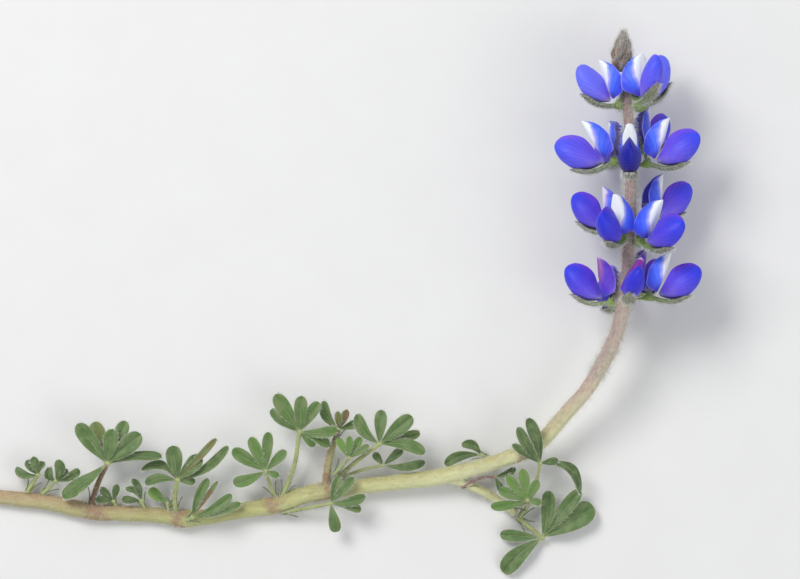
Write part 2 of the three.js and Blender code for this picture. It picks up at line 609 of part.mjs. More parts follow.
function budCluster() {
  const base = place(...BUD_BASE);
  const axis = place(...BUD_TIP).sub(base);
  const height = axis.length();
  const up = axis.clone().normalize();
  const side = new THREE.Vector3(1, 0, 0).addScaledVector(up, -up.x).normalize();
  const depth = side.clone().cross(up);
  const at = (along, radius, turn) => base.clone()
    .addScaledVector(up, along)
    .addScaledVector(side, radius * Math.cos(turn))
    .addScaledVector(depth, radius * Math.sin(turn));
  const core = bodyThroughRings(BUD_CORE.map(([along, radius]) => (
    Array.from({ length: BUD_CORE_SIDES }, (_, k) => (
      at(along * height, radius, (2 * Math.PI * k) / BUD_CORE_SIDES))))));
  const buds = BUD_RINGS.flatMap(({ along, count, length, reach, lean, girth }, row) => (
    Array.from({ length: count }, (_, k) => {
      const turn = (2 * Math.PI * (k + 0.5 * row)) / count;
      const rings = BUD_SECTION.map(([share, wide]) => {
        const bend = reach + lean * Math.sin(Math.PI * share) - BUD_DRAW_IN * reach * share;
        return [0, 1, 2].map((corner) => {
          const spin = (2 * Math.PI * corner) / 3 + Math.PI / 2;
          const across = BUD_WIDE * girth * wide * Math.cos(spin);
          const swing = across / Math.max(bend, BUD_LEAST_REACH);
          const radius = bend + BUD_DEEP * girth * wide * Math.sin(spin);
          return at(along * height + share * length, Math.max(radius, 0.05), turn + swing);
        });
      });
      return bodyThroughRings(rings);
    })));
  return joined([core, ...buds]);
}

// ---------------------------------------------------------------------------------------------
// Leaves
// ---------------------------------------------------------------------------------------------

// Half width along a leaflet, as a share of its largest: narrow at the hub, blunt at the tip.
function leafletShare(s) {
  const shape = (t) => t ** 1.1 * (1 - t) ** 0.42;
  return Math.max(shape(s) / shape(LEAFLET_WIDEST), LEAFLET_LEAST);
}

// One leaflet: a blade folded up along its midrib and arched over its length.
function leaflet(hub, [tipX, tipY, tipZ, width, roll, bow]) {
  const tip = place(tipX, tipY, tipZ);
  const reach = tip.clone().sub(hub);
  const length = reach.length();
  const forward = reach.clone().normalize();
  const level = new THREE.Vector3(0, 0, 1).cross(forward).normalize();
  const upright = forward.clone().cross(level).normalize();
  const turn = new THREE.Matrix4().makeRotationAxis(forward, THREE.MathUtils.degToRad(roll));
  const side = level.clone().applyMatrix4(turn);
  const top = upright.clone().applyMatrix4(turn);
  const sheet = LEAFLET_STATIONS.map((s) => {
    const swell = Math.sin(Math.PI * s);
    const middle = hub.clone()
      .addScaledVector(forward, s * length)
      .addScaledVector(upright, LEAFLET_ARCH * length * swell)
      .addScaledVector(level, bow * swell);
    const half = 0.5 * width * leafletShare(s);
    return [-1, 0, 1].map((w) => middle.clone()
      .addScaledVector(side, w * half)
      .addScaledVector(top, Math.abs(w) * half * LEAFLET_FOLD));
  });
  return bladeBetween(sheet, offsetSheet(sheet, -BLADE));
}

function leaf({ stalk, girth, leaflets }) {
  const stations = lineStations(stalk.map(([x, y, z]) => [x, y, z, girth]));
  const hub = stations[stations.length - 1].point;
  const knob = new THREE.OctahedronGeometry(HUB_SIZE * girth, 0).translate(hub.x, hub.y, hub.z);
  const blades = leaflets.map((row) => leaflet(hub, row));
  return joined([bodyThroughRings(tubeRings(stations, LEAF_STALK_SIDES)), solidOfShape(knob), ...blades]);
}

// ---------------------------------------------------------------------------------------------
// Assembly
// ---------------------------------------------------------------------------------------------

const sprig = new THREE.Group();
sprig.name = 'lupin_sprig';

// Everything lies on or above the surface, so each body is cut flat at z = 0 by this box.
const SPACE = [260, 260, 100];
const aboveSurface = solidOfShape(new THREE.BoxGeometry(...SPACE).translate(0, 0, SPACE[2] / 2));

function addPiece(name, solid, finish) {
  const mesh = largestBody(solid.intersect(aboveSurface)).getMesh();
  const geometry = new THREE.BufferGeometry();
  geometry.setAttribute('position', new THREE.BufferAttribute(mesh.vertProperties, 3));
  geometry.setIndex(new THREE.BufferAttribute(mesh.triVerts, 1));
  const piece = new THREE.Mesh(geometry, new THREE.MeshStandardMaterial({ ...finish, metalness: 0 }));
  piece.name = name;
  sprig.add(piece);
}

const frames = FLOWERS.map((flower) => flowerFrame(flower));
const calyces = FLOWERS.map((flower, i) => calyx(flower, frames[i]));
addPiece('stem', joined([stemBody(0), ...calyces]), FINISHES.stem);
addPiece('bud_cluster', budCluster(), FINISHES.bud);

FLOWERS.forEach((flower, i) => {
  addPiece(`flower_${flower.name}_banner`, banner(frames[i], flower), FINISHES.banner);
  addPiece(`flower_${flower.name}_wings`, wings(frames[i], flower).add(keel(frames[i])), FINISHES.wings);
});

const stemClearance = stemBody(GAP);
LEAVES.forEach((row) => {
  addPiece(row.name, leaf(row).subtract(stemClearance), FINISHES.leaf);
});

export default sprig;
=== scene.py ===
import bpy
import numpy as np
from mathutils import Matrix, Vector


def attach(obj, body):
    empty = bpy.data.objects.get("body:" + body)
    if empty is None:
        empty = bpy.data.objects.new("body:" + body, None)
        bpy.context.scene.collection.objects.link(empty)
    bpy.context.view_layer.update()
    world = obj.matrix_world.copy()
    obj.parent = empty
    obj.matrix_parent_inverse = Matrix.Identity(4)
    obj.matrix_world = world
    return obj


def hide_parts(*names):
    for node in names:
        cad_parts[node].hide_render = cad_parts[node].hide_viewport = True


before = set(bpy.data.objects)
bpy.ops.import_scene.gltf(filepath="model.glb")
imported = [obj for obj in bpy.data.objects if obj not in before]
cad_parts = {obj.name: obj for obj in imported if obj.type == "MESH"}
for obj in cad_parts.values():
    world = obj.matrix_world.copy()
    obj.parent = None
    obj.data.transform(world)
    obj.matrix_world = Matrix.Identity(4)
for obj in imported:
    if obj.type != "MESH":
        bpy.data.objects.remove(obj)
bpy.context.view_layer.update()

# %% [markdown]
# ## One plan for all places
# The sprig could be laid out by dragging pieces about. Here every place is a number on one plan in
# millimetres, with x along the leafy stem and y along the flower spike, so that leaf, flower and
# stem agree with each other and with the solids that they replace.
# %% Plan and units
MM = 0.001
PLAN_CENTRE = np.array([85.23, 68.82, 0.0])
SEED = 20
chance = np.random.default_rng(SEED)


def placed(points):
    """Places [x, y, z] on the plan, less the plan's centre, so that the box's middle is the origin."""
    return np.asarray(points, float) - PLAN_CENTRE


print("plan's zero lies at:", placed([0, 0, 0]), "mm")

# %% [markdown]
# ## Camera
# A picked sprig lies flat, so the camera looks straight down on it. A long lens far away keeps the
# high flowers and the low stem at the same scale; a short lens would swell the flowers.
# %% Camera
VIEW_WIDTH = 0.2
VIEW_CENTRE = (0.01477, 0.003555)
VIEW_HEIGHT = 0.015
CAMERA_DISTANCE = 2.5
CAMERA_REACH = 20.0
SENSOR_WIDTH = 36.0

camera_data = bpy.data.cameras.new("camera")
camera_data.sensor_width = SENSOR_WIDTH
camera_data.lens = SENSOR_WIDTH * CAMERA_DISTANCE / VIEW_WIDTH
camera_data.clip_end = CAMERA_REACH
camera = bpy.data.objects.new("camera", camera_data)
camera.location = (*VIEW_CENTRE, VIEW_HEIGHT + CAMERA_DISTANCE)
bpy.context.scene.collection.objects.link(camera)
bpy.context.scene.camera = camera
bpy.context.scene.view_settings.view_transform = "Standard"
print("lens:", round(camera_data.lens), "mm")

# %% [markdown]
# ## Smooth curves through a few values
# A petal's outline or a stem's bends need few numbers if a smooth curve runs between them. A Bezier
# object could do it, but its handles are hard to compute; a cubic with the slopes of the neighbours
# needs none, and it takes whole arrays at once.
# %% Curve helpers
def unit(vectors):
    """Each vector divided by its own length."""
    return vectors / np.maximum(np.linalg.norm(vectors, axis=-1, keepdims=True), 1e-12)


def full_turn(sides):
    """Even angles once round; the last step leads back to the first."""
    return np.linspace(0, 2 * np.pi, sides, endpoint=False)


def rows_to_tip(count):
    """0 to 1 by the sine of even angles, so that rows lie closer together near a rounded tip."""
    return np.sin(np.linspace(0, np.pi / 2, count))[:, None]


def smooth(stations, values, at):
    """A curve through values at stations. The slope at a station is that of the parabola through it
    and its neighbours, and between two stations runs the cubic that has both values and slopes."""
    stations = np.asarray(stations, float)
    values = np.asarray(values, float)
    slopes = np.gradient(values, stations, axis=0)
    at = np.clip(at, stations[0], stations[-1])
    k = np.clip(np.searchsorted(stations, at, side="right") - 1, 0, len(stations) - 2)
    gap = stations[k + 1] - stations[k]
    t = (at - stations[k]) / gap
    if values.ndim > 1:
        gap = gap[..., None]
        t = t[..., None]
    return (
        (1 + 2 * t) * (1 - t) ** 2 * values[k]
        + t * (1 - t) ** 2 * gap * slopes[k]
        + t ** 2 * (3 - 2 * t) * values[k + 1]
        + t ** 2 * (t - 1) * gap * slopes[k + 1]
    )


def line_through(places, steps):
    """Even steps along the smooth curve through [x, y, z, radius] places: points, radii and the
    distance reached, which is measured along the straight lines between the places."""
    places = np.asarray(places, float)
    points = placed(places[:, :3])
    reached = np.concatenate([[0.0], np.cumsum(np.linalg.norm(np.diff(points, axis=0), axis=1))])
    at = np.linspace(0, reached[-1], steps)
    return smooth(reached, points, at), smooth(reached, places[:, 3], at), at


print("half way up a smooth rise:", smooth([0, 1, 2, 3], [0, 0, 1, 1], 1.5))

# %% [markdown]
# ## From grids of points to closed pieces
# Every piece of the sprig is one or more closed bodies, worked out as grids of points. Modelling by
# hand would give each body its own faults; from a grid, its faces follow by counting. Each body keeps
# numbers for the finish: how far along and across a place is, its tone, on which face it lies and its
# angle about the petal's claw, and a flat map of the surface in millimetres.
# %% Grid helpers
VALUE_NAMES = ("along", "across", "tone", "back", "fan")


def grid_quads(rows, columns, wrap=False):
    """The corner numbers of a grid's squares; with wrap the last column joins the first."""
    across = columns if wrap else columns - 1
    i, j = np.meshgrid(np.arange(rows - 1), np.arange(across), indexing="ij")
    k = (j + 1) % columns
    corners = [i * columns + j, i * columns + k, (i + 1) * columns + k, (i + 1) * columns + j]
    return np.stack(corners, -1).reshape(-1, 4)


def facing_out(points, quads, tris):
    """Faces turned round if the volume that they enclose, the sum of the corners' triple products,
    comes out negative."""
    middle = points.mean(0)
    halves = np.concatenate([quads[:, [0, 1, 2]], quads[:, [0, 2, 3]], tris])
    a, b, c = (points[halves[:, k]] - middle for k in range(3))
    volume = np.einsum("ij,ij->i", a, np.cross(b, c)).sum()
    return (quads, tris) if volume > 0 else (quads[:, ::-1], tris[:, ::-1])


def part(points, quads, tris, skin, **values):
    """One closed body as arrays; values left out are zero."""
    quads, tris = facing_out(points, quads, tris)
    full = {name: np.zeros(len(points)) + values.get(name, 0.0) for name in VALUE_NAMES}
    return {"points": points, "quads": quads, "tris": tris, "skin": skin, **full}


print("squares on a tube of 3 rings with 8 sides:", len(grid_quads(3, 8, wrap=True)))

# %% [markdown]
# ## Thin blades
# A petal or leaflet is two grids back to back with a narrow band round the rim. A Solidify modifier
# could thicken it too, but a back that is worked out can carry a midrib of its own.
# %% Blade helpers
TONE_APART = 40


def sheet_normals(sheet, facing, columns=slice(None)):
    """At each point of a grid, the direction square to both of its lines. All are turned round if
    those of the given columns look away from `facing` on the whole."""
    normals = unit(np.cross(np.gradient(sheet, axis=0), np.gradient(sheet, axis=1)))
    return normals * np.sign((normals[:, columns] @ facing).mean())


def blade_part(front, back, along, across, length, half, tone=0.0, fan=0.0):
    """A blade between two sheets: the squares of both, and a band of squares round the rim. The third
    number of its flat map is its tone times a length, so blades of other tones have other patches."""
    rows, columns = front.shape[:2]
    shift = rows * columns
    quads = grid_quads(rows, columns)
    rim = np.concatenate([
        np.arange(columns),
        np.arange(1, rows) * columns + columns - 1,
        (rows - 1) * columns + np.arange(columns - 2, -1, -1),
        np.arange(rows - 2, 0, -1) * columns,
    ])
    after = np.roll(rim, -1)
    band = np.stack([after, rim, rim + shift, after + shift], -1)
    u = np.broadcast_to(along, (rows, columns)).ravel()
    v = np.broadcast_to(across, (rows, columns)).ravel()
    fan = np.broadcast_to(fan, (rows, columns)).ravel()
    skin = np.stack([u * length, v * half, np.full(u.shape, TONE_APART * tone)], -1)
    return part(
        np.concatenate([front.reshape(-1, 3), back.reshape(-1, 3)]),
        np.concatenate([quads, quads[:, ::-1] + shift, band]),
        np.zeros((0, 3), int),
        np.concatenate([skin, skin]),
        along=np.concatenate([u, u]),
        across=np.concatenate([v, v]),
        tone=tone,
        back=np.repeat([0.0, 1.0], shift),
        fan=np.concatenate([fan, fan]),
    )


print("the maps of blades with tones 0.1 apart are", 0.1 * TONE_APART, "mm apart")

# %% [markdown]
# ## Stems and other round bodies
# A stem is a grid wrapped round a line. A curve with a bevel gives the same tube quickly, but here
# each point of a ring can have a radius of its own, so a stem can be ribbed and a bud pointed.
# %% Tube helpers
def tube_grid(centres, radii, sides):
    """Rings about a line: centre + radius x (cos turn x side + sin turn x lift), where side is level
    and lift is square to it and to the line. Gives the rings and their spokes."""
    tangent = unit(np.gradient(centres, axis=0))
    side = unit(np.cross([0.0, 0.0, 1.0], tangent))
    lift = np.cross(tangent, side)
    turn = full_turn(sides)
    spokes = np.cos(turn)[None, :, None] * side[:, None] + np.sin(turn)[None, :, None] * lift[:, None]
    radii = np.broadcast_to(np.asarray(radii, float).reshape(len(centres), -1), (len(centres), sides))
    return centres[:, None] + radii[..., None] * spokes, spokes


def tube_part(grid, distance, along, tone=0.0):
    """A body through rings, with a fan over each end. Its flat map is the distance along it and the
    two coordinates of its round section, so the map has no seam."""
    rows, sides = grid.shape[:2]
    ends = np.stack([grid[0].mean(0), grid[-1].mean(0)])
    j = np.arange(sides)
    k = (j + 1) % sides
    last = (rows - 1) * sides
    hub = np.full(sides, rows * sides)
    fans = np.concatenate([np.stack([hub, k, j], -1), np.stack([hub + 1, last + j, last + k], -1)])
    radius = np.linalg.norm(grid - grid.mean(1, keepdims=True), axis=-1)
    turn = full_turn(sides)
    section = [(radius * np.cos(turn)).ravel(), (radius * np.sin(turn)).ravel()]
    skin = np.stack([np.repeat(distance, sides), *section], -1)
    skin = np.concatenate([skin, [[distance[0], 0, 0], [distance[-1], 0, 0]]])
    along = np.concatenate([np.repeat(along, sides), [along[0], along[-1]]])
    across = np.concatenate([np.tile(np.sin(turn), rows), [0, 0]])
    points = np.concatenate([grid.reshape(-1, 3), ends])
    quads = grid_quads(rows, sides, wrap=True)
    return part(points, quads, fans, skin, along=along, across=across, tone=tone)


rings, _ = tube_grid(np.array([[0, 0, 0], [0, 1.0, 0]]), [1.0, 0.5], 4)
print("two rings reach x =", rings[..., 0].max(1))

# %% [markdown]
# ## Making a Blender object
# Pieces that share a body and a finish become one mesh, which is quicker to render than hundreds of
# objects. The numbers kept with the points become attributes, which the finishes read.
# %% Mesh helper
SHARP = np.radians(50)
made_pieces = {}


def make_piece(name, parts, materials, nodes=()):
    """One object from closed parts. Each part is a pair (number of its material, arrays)."""
    counts = np.cumsum([0] + [len(p["points"]) for _, p in parts])
    points = np.concatenate([p["points"] for _, p in parts]) * MM
    points[:, 2] = np.maximum(points[:, 2], 0.0)  # nothing reaches below the table
    quads = np.concatenate([p["quads"] + start for (_, p), start in zip(parts, counts)])
    tris = np.concatenate([p["tris"] + start for (_, p), start in zip(parts, counts)])
    kinds = np.concatenate([np.full(len(p["quads"]), m) for m, p in parts]
                           + [np.full(len(p["tris"]), m) for m, p in parts])
    mesh = bpy.data.meshes.new(name)
    mesh.from_pydata(points.tolist(), [], quads.tolist() + tris.tolist())
    mesh.polygons.foreach_set("material_index", kinds.astype(np.int32))
    mesh.polygons.foreach_set("use_smooth", np.ones(len(kinds), bool))
    mesh.set_sharp_from_angle(angle=SHARP)
    for value in VALUE_NAMES:
        numbers = np.concatenate([p[value] for _, p in parts]).astype(np.float32)
        mesh.attributes.new(value, "FLOAT", "POINT").data.foreach_set("value", numbers)
    skin = np.concatenate([p["skin"] for _, p in parts]).astype(np.float32)
    mesh.attributes.new("skin", "FLOAT_VECTOR", "POINT").data.foreach_set("vector", skin.ravel())
    for material in materials:
        mesh.materials.append(material)
    piece = bpy.data.objects.new(name, mesh)
    bpy.context.scene.collection.objects.link(piece)
    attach(piece, "root")
    if nodes:
        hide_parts(*nodes)
    made_pieces[name] = 2 * len(quads) + len(tris)


print("numbers kept with each point:", *VALUE_NAMES)

# %% [markdown]
# ## Hairs
# Nearly all of the plant is hairy. Blender's hair curves would be the usual way, but only meshes
# leave this script, so each hair is a thin three-sided spine of seven points: a ring at its root, a
# bent ring past its middle, and its tip.
# %% Hair helpers
HAIR_BEND_AT = 0.55
HAIR_BEND = 0.4
HAIR_WAIST = 0.65
HAIR_CURL = 0.15
HAIR_POINTS = 7
HAIR_QUADS = np.array([[0, 1, 4, 3], [1, 2, 5, 4], [2, 0, 3, 5]])
HAIR_TRIS = np.array([[3, 4, 6], [4, 5, 6], [5, 3, 6], [0, 2, 1]])


def scatter(grid, facing, count, low=(0.0, 0.0), high=(1.0, 1.0)):
    """Random places on a grid, and the direction that faces outward there, both worked out from the
    four corners round each place in proportion to how near they are."""
    last_row, last_column = grid.shape[0] - 1, grid.shape[1] - 1
    r = chance.uniform(low[0], high[0], count) * last_row
    c = chance.uniform(low[1], high[1], count) * last_column
    i = np.minimum(r.astype(int), last_row - 1)
    j = np.minimum(c.astype(int), last_column - 1)
    r = (r - i)[:, None]
    c = (c - j)[:, None]

    def between(field):
        """The four corners' values, each times how near the place is to it."""
        upper = field[i, j] * (1 - c) + field[i, j + 1] * c
        lower = field[i + 1, j] * (1 - c) + field[i + 1, j + 1] * c
        return upper * (1 - r) + lower * r

    return between(grid), unit(between(facing))


def wrapped(grid, spokes):
    """A ring grid and its spokes, each with its first column repeated at the end."""
    return [np.concatenate([field, field[:, :1]], axis=1) for field in (grid, spokes)]


def hair_part(roots, leans, lengths, thickness):
    """Hairs from roots along leans. Root ring, a ring of two thirds its width at just over half way
    with a part of the bend, and a tip at the full bend, a random sideways share of the length."""
    count = len(roots)
    forward = unit(leans)
    helper = np.where(np.abs(forward[:, 2:]) < 0.9, [[0.0, 0.0, 1.0]], [[1.0, 0.0, 0.0]])
    left = unit(np.cross(forward, helper))
    top = np.cross(forward, left)
    swing = chance.normal(0, HAIR_CURL, (count, 2)) * lengths[:, None]
    bend = left * swing[:, :1] + top * swing[:, 1:]
    turn = 2 * np.pi * np.arange(3) / 3
    ring = np.cos(turn)[None, :, None] * left[:, None] + np.sin(turn)[None, :, None] * top[:, None]
    middle = roots + forward * lengths[:, None] * HAIR_BEND_AT + HAIR_BEND * bend
    root_ring = roots[:, None] + thickness * ring
    middle_ring = middle[:, None] + HAIR_WAIST * thickness * ring
    tip = (roots + forward * lengths[:, None] + bend)[:, None]
    points = np.concatenate([root_ring, middle_ring, tip], axis=1).reshape(-1, 3)
    start = HAIR_POINTS * np.arange(count)[:, None, None]
    quads = (start + HAIR_QUADS).reshape(-1, 4)
    tris = (start + HAIR_TRIS).reshape(-1, 3)
    tone = np.repeat(chance.random(count), HAIR_POINTS)
    body = part(points, quads, tris, points, tone=tone)
    first, second, third = (points[k::HAIR_POINTS] for k in range(3))
    sense = np.einsum("ij,ij->i", np.cross(second - first, third - first), forward)
    body["quads"], body["tris"] = (quads, tris) if sense.mean() > 0 else (quads[:, ::-1], tris[:, ::-1])
    return body


print("triangles in a hair:", 2 * len(HAIR_QUADS) + len(HAIR_TRIS))

# %% [markdown]
# ## Finishes from nodes
# Pictures wrapped round the pieces would give quick colour, but they stretch and can't be changed.
# Node finishes are worked out from the numbers kept with each point, so a vein follows its petal and
# a blush its stem. These helpers keep each finish short.
# %% Node helpers
def srgb(red, green, blue):
    """A screen colour, 0 to 255, as the linear colour that shaders count in."""
    c = np.array([red, green, blue]) / 255
    linear = np.where(c <= 0.04045, c / 12.92, ((c + 0.055) / 1.055) ** 2.4)
    return (*linear.tolist(), 1.0)


def add(tree, kind, inputs=None, **settings):
    """A node with its settings and inputs. An input is a value or another node's output."""
    made = tree.nodes.new(kind)
    for name, value in settings.items():
        setattr(made, name, value)
    for name, value in (inputs or {}).items():
        if isinstance(value, bpy.types.NodeSocket):
            tree.links.new(value, made.inputs[name])
        else:
            made.inputs[name].default_value = value
    return made


def value_of(tree, name):
    """The number of this name that is kept with each point."""
    return add(tree, "ShaderNodeAttribute", attribute_name=name).outputs["Fac"]


def skin_of(tree, scale):
    """The flat map in millimetres, scaled along, across and deep."""
    skin = add(tree, "ShaderNodeAttribute", attribute_name="skin").outputs["Vector"]
    return add(tree, "ShaderNodeMapping", {"Vector": skin, "Scale": scale}).outputs["Vector"]


def math(tree, operation, *inputs, clamp=False):
    """One step of arithmetic on values or outputs; clamp keeps it from 0 to 1."""
    return add(tree, "ShaderNodeMath", dict(enumerate(inputs)), operation=operation,
               use_clamp=clamp).outputs["Value"]


def times(tree, a, b):
    """a x b."""
    return math(tree, "MULTIPLY", a, b)


def less(tree, a, b):
    """a - b."""
    return math(tree, "SUBTRACT", a, b)


def mix(tree, factor, a, b):
    """Colour a x (1 - factor) + colour b x factor."""
    return add(tree, "ShaderNodeMix", {0: factor, 6: a, 7: b}, data_type="RGBA").outputs[2]


def tinted(tree, colour, share, strength, tint):
    """The colour with a tint laid over it, by share times strength."""
    return mix(tree, times(tree, share, strength), colour, tint)


print("a mid grey on the screen is", round(srgb(128, 128, 128)[0], 3), "in linear light")

# %% [markdown]
# ## Steps, ramps and patterns
# A finish is mostly a few steps from one colour to another, at a place that noise makes uneven. Each
# of these patterns is one to three nodes, and `finish` joins the last to a Principled shader.
# %% Pattern helpers
NOISE_ROUGHNESS = 0.55


def rise(tree, value, start, end):
    """0 below start, 1 above end, and a smooth step between; start may be the larger."""
    inputs = {"Value": value, "From Min": start, "From Max": end}
    return add(tree, "ShaderNodeMapRange", inputs, interpolation_type="SMOOTHSTEP").outputs["Result"]


def ramp(tree, factor, stops):
    """Colours at shares of the way, blended between."""
    made = add(tree, "ShaderNodeValToRGB", {"Fac": factor})
    elements = made.color_ramp.elements
    while len(elements) < len(stops):
        elements.new(0.5)
    for element, (share, colour) in zip(elements, stops):
        element.position = share
        element.color = colour
    return made.outputs["Color"]


def shades(tree, factor, *stops):
    """A ramp of screen colours, each (share of the way, red, green, blue)."""
    return ramp(tree, factor, [(share, srgb(*colour)) for share, *colour in stops])


def noise(tree, vector, scale, detail=3.0):
    """Cloudy values round one half, with `scale` patches to a unit of the vector."""
    inputs = {"Vector": vector, "Scale": scale, "Detail": detail, "Roughness": NOISE_ROUGHNESS}
    return add(tree, "ShaderNodeTexNoise", inputs).outputs["Fac"]


def skin_noise(tree, scale, detail=3.0):
    """Noise on the flat map, with the patches per millimetre along, across and deep."""
    return noise(tree, skin_of(tree, scale), 1.0, detail)


def bump(tree, height, strength, distance):
    """A normal tilted as if the surface stood out by height x distance in metres."""
    inputs = {"Height": height, "Strength": strength, "Distance": distance}
    return add(tree, "ShaderNodeBump", inputs).outputs["Normal"]


def finish(name, build, **sockets):
    """A material. `build` is given the node tree and returns its base colour and normal."""
    material = bpy.data.materials.new(name)
    material.use_nodes = True
    tree = material.node_tree
    shader = tree.nodes["Principled BSDF"]
    colour, normal = build(tree)
    tree.links.new(colour, shader.inputs["Base Color"])
    if normal is not None:
        tree.links.new(normal, shader.inputs["Normal"])
    for socket, value in sockets.items():
        shader.inputs[socket.replace("_", " ")].default_value = value
    print(name, "nodes:", len(tree.nodes))
    return material


# %% [markdown]
# ## The stem's skin
# The creeping stem is tan at its old end and yellow-green further on, with brown patches at its leaf
# joints, and the flower stalk above the bend is mauve. Painting it by hand would give all that once,
# for this stem only. Here one ramp along the stem is for the shaded side and one for the side that
# the sun has reddened, noise breaks them into patches, and streaks give the fine ribs.
# %% Stem finish
LEAF_JOINTS = [0.113, 0.2, 0.306, 0.362, 0.57]


def stem_colours(tree):
    """Shaded and reddened side by the flat map's sideways number, then joints, streaks and specks."""
    along = value_of(tree, "along")
    skin = add(tree, "ShaderNodeAttribute", attribute_name="skin").outputs["Vector"]
    towards_sun = add(tree, "ShaderNodeSeparateXYZ", {"Vector": skin}).outputs["Y"]
    patches = skin_noise(tree, (0.16, 0.3, 0.3))
    shifted = math(tree, "ADD", along, times(tree, less(tree, patches, 0.5), 0.06))
    shaded = shades(tree, shifted, (0.0, 186, 172, 130), (0.2, 178, 180, 116), (0.3, 190, 192, 128),
                    (0.5, 214, 214, 164), (0.6, 208, 208, 154), (0.65, 208, 198, 164),
                    (0.72, 196, 178, 162), (0.84, 186, 164, 154), (1.0, 174, 148, 142))
    reddened = shades(tree, shifted, (0.0, 166, 138, 108), (0.12, 160, 132, 100),
                      (0.22, 150, 144, 88), (0.5, 178, 174, 118), (0.6, 182, 170, 128),
                      (0.67, 174, 148, 138), (0.8, 156, 124, 130), (1.0, 140, 104, 112))
    mottle = skin_noise(tree, (0.5, 1.4, 1.4), detail=5.0)
    sun = times(tree, rise(tree, towards_sun, -1.1, 1.3), 0.8)
    broken = times(tree, less(tree, mottle, 0.5), 1.4)
    colour = mix(tree, math(tree, "ADD", sun, broken, clamp=True), shaded, reddened)
    for joint in LEAF_JOINTS:
        distance = math(tree, "ABSOLUTE", less(tree, shifted, joint))
        colour = tinted(tree, colour, rise(tree, distance, 0.014, 0.002), 0.6, srgb(150, 104, 88))
    streaks = skin_noise(tree, (0.35, 5.0, 5.0), detail=4.0)
    colour = tinted(tree, colour, rise(tree, streaks, 0.5, 0.75), 0.35, srgb(222, 212, 184))
    specks = skin_noise(tree, (2.2, 3.2, 3.2), detail=2.0)
    colour = tinted(tree, colour, rise(tree, specks, 0.66, 0.72), 0.4, srgb(112, 78, 62))
    return colour, bump(tree, math(tree, "ADD", streaks, mottle), 0.6, 0.00025)


stem_skin = finish("stem_skin", stem_colours, Roughness=0.62, Subsurface_Weight=0.08,
                   Subsurface_Scale=0.001)

# %% [markdown]
# ## The leaves' skin
# The upper face is a matt mid green with a pale midrib and faint side veins, the lower one grey and
# silky. Two materials on one leaflet would need two lists of faces; which face a place lies on is
# one of its numbers instead, so one finish serves both.
# %% Leaf finish
LEAF_SIDE_VEINS = 7.0


def leaf_colours(tree):
    """Green by tone, then side veins as a sine of along less across, midrib, margin and claw."""
    along = value_of(tree, "along")
    across = math(tree, "ABSOLUTE", value_of(tree, "across"))
    tone = value_of(tree, "tone")
    upper = shades(tree, tone, (0.0, 58, 80, 42), (0.4, 78, 106, 54), (0.75, 90, 126, 54),
                   (0.9, 108, 148, 60), (1.0, 120, 90, 62))
    blotches = skin_noise(tree, (0.35, 0.5, 1.0))
    upper = mix(tree, rise(tree, blotches, 0.35, 0.7), upper, srgb(112, 132, 82))
    lower = mix(tree, 0.55, upper, srgb(150, 164, 132))
    slant = less(tree, times(tree, along, LEAF_SIDE_VEINS), times(tree, across, 1.6))
    wave = math(tree, "SINE", times(tree, slant, 2 * np.pi))
    veins = rise(tree, wave, 0.75, 1.0)
    colour = mix(tree, value_of(tree, "back"), upper, lower)
    colour = tinted(tree, colour, veins, 0.16, srgb(140, 160, 112))
    midrib = times(tree, rise(tree, across, 0.09, 0.01), rise(tree, along, 1.05, 0.2))
    colour = tinted(tree, colour, midrib, 0.6, srgb(186, 194, 156))
    margin = rise(tree, across, 0.88, 1.0)
    colour = tinted(tree, colour, margin, 0.5, srgb(172, 168, 138))
    claw = rise(tree, along, 0.16, 0.0)
    colour = tinted(tree, colour, claw, 0.8, srgb(184, 190, 142))
    grain = skin_noise(tree, (3.0, 3.0, 3.0), detail=4.0)
    height = less(tree, times(tree, grain, 0.5), times(tree, veins, 0.5))
    return colour, bump(tree, height, 0.5, 0.0002)


leaf_skin = finish("leaf_skin", leaf_colours, Roughness=0.58, Sheen_Weight=0.15, Sheen_Roughness=0.4,
                   Subsurface_Weight=0.06, Subsurface_Scale=0.0006)


def stalk_colours(tree):
    """Green, brown or pink by tone, with darker patches from noise."""
    patches = skin_noise(tree, (0.3, 0.8, 0.8), detail=4.0)
    colour = shades(tree, value_of(tree, "tone"), (0.0, 150, 164, 108), (0.5, 168, 178, 116),
                    (0.8, 128, 104, 74), (1.0, 150, 112, 112))
    colour = tinted(tree, colour, rise(tree, patches, 0.45, 0.75), 0.45, srgb(112, 92, 62))
    return colour, bump(tree, patches, 0.4, 0.0002)


stalk_skin = finish("leaf_stalk_skin", stalk_colours, Roughness=0.6, Subsurface_Weight=0.06,
                    Subsurface_Scale=0.0008)

# %% [markdown]
# ## The petals' colours
# The banner has a white wedge from its tip down its middle between two azure lobes, and turns purple
# as the flower ages. Darker veins fan out from the claw. A wave texture would smear where the petal
# bends; the veins here are lines of equal angle about the claw, a number kept with each point.
# %% Banner finish
BANNER_VEINS = 12.0
PETAL = {"Roughness": 0.48, "Specular_IOR_Level": 0.35, "Sheen_Weight": 0.06, "Sheen_Roughness": 0.35,
         "Subsurface_Weight": 0.12, "Subsurface_Scale": 0.0008}


def vein_fan(tree, count, width):
    """Thin lines at equal angles about the claw, which wander a little."""
    wander = skin_noise(tree, (0.3, 0.3, 1.0))
    lines = math(tree, "ADD", times(tree, value_of(tree, "fan"), count), times(tree, wander, 0.5))
    wave = math(tree, "SINE", times(tree, lines, 2 * np.pi))
    return rise(tree, wave, 1 - width, 1.0)


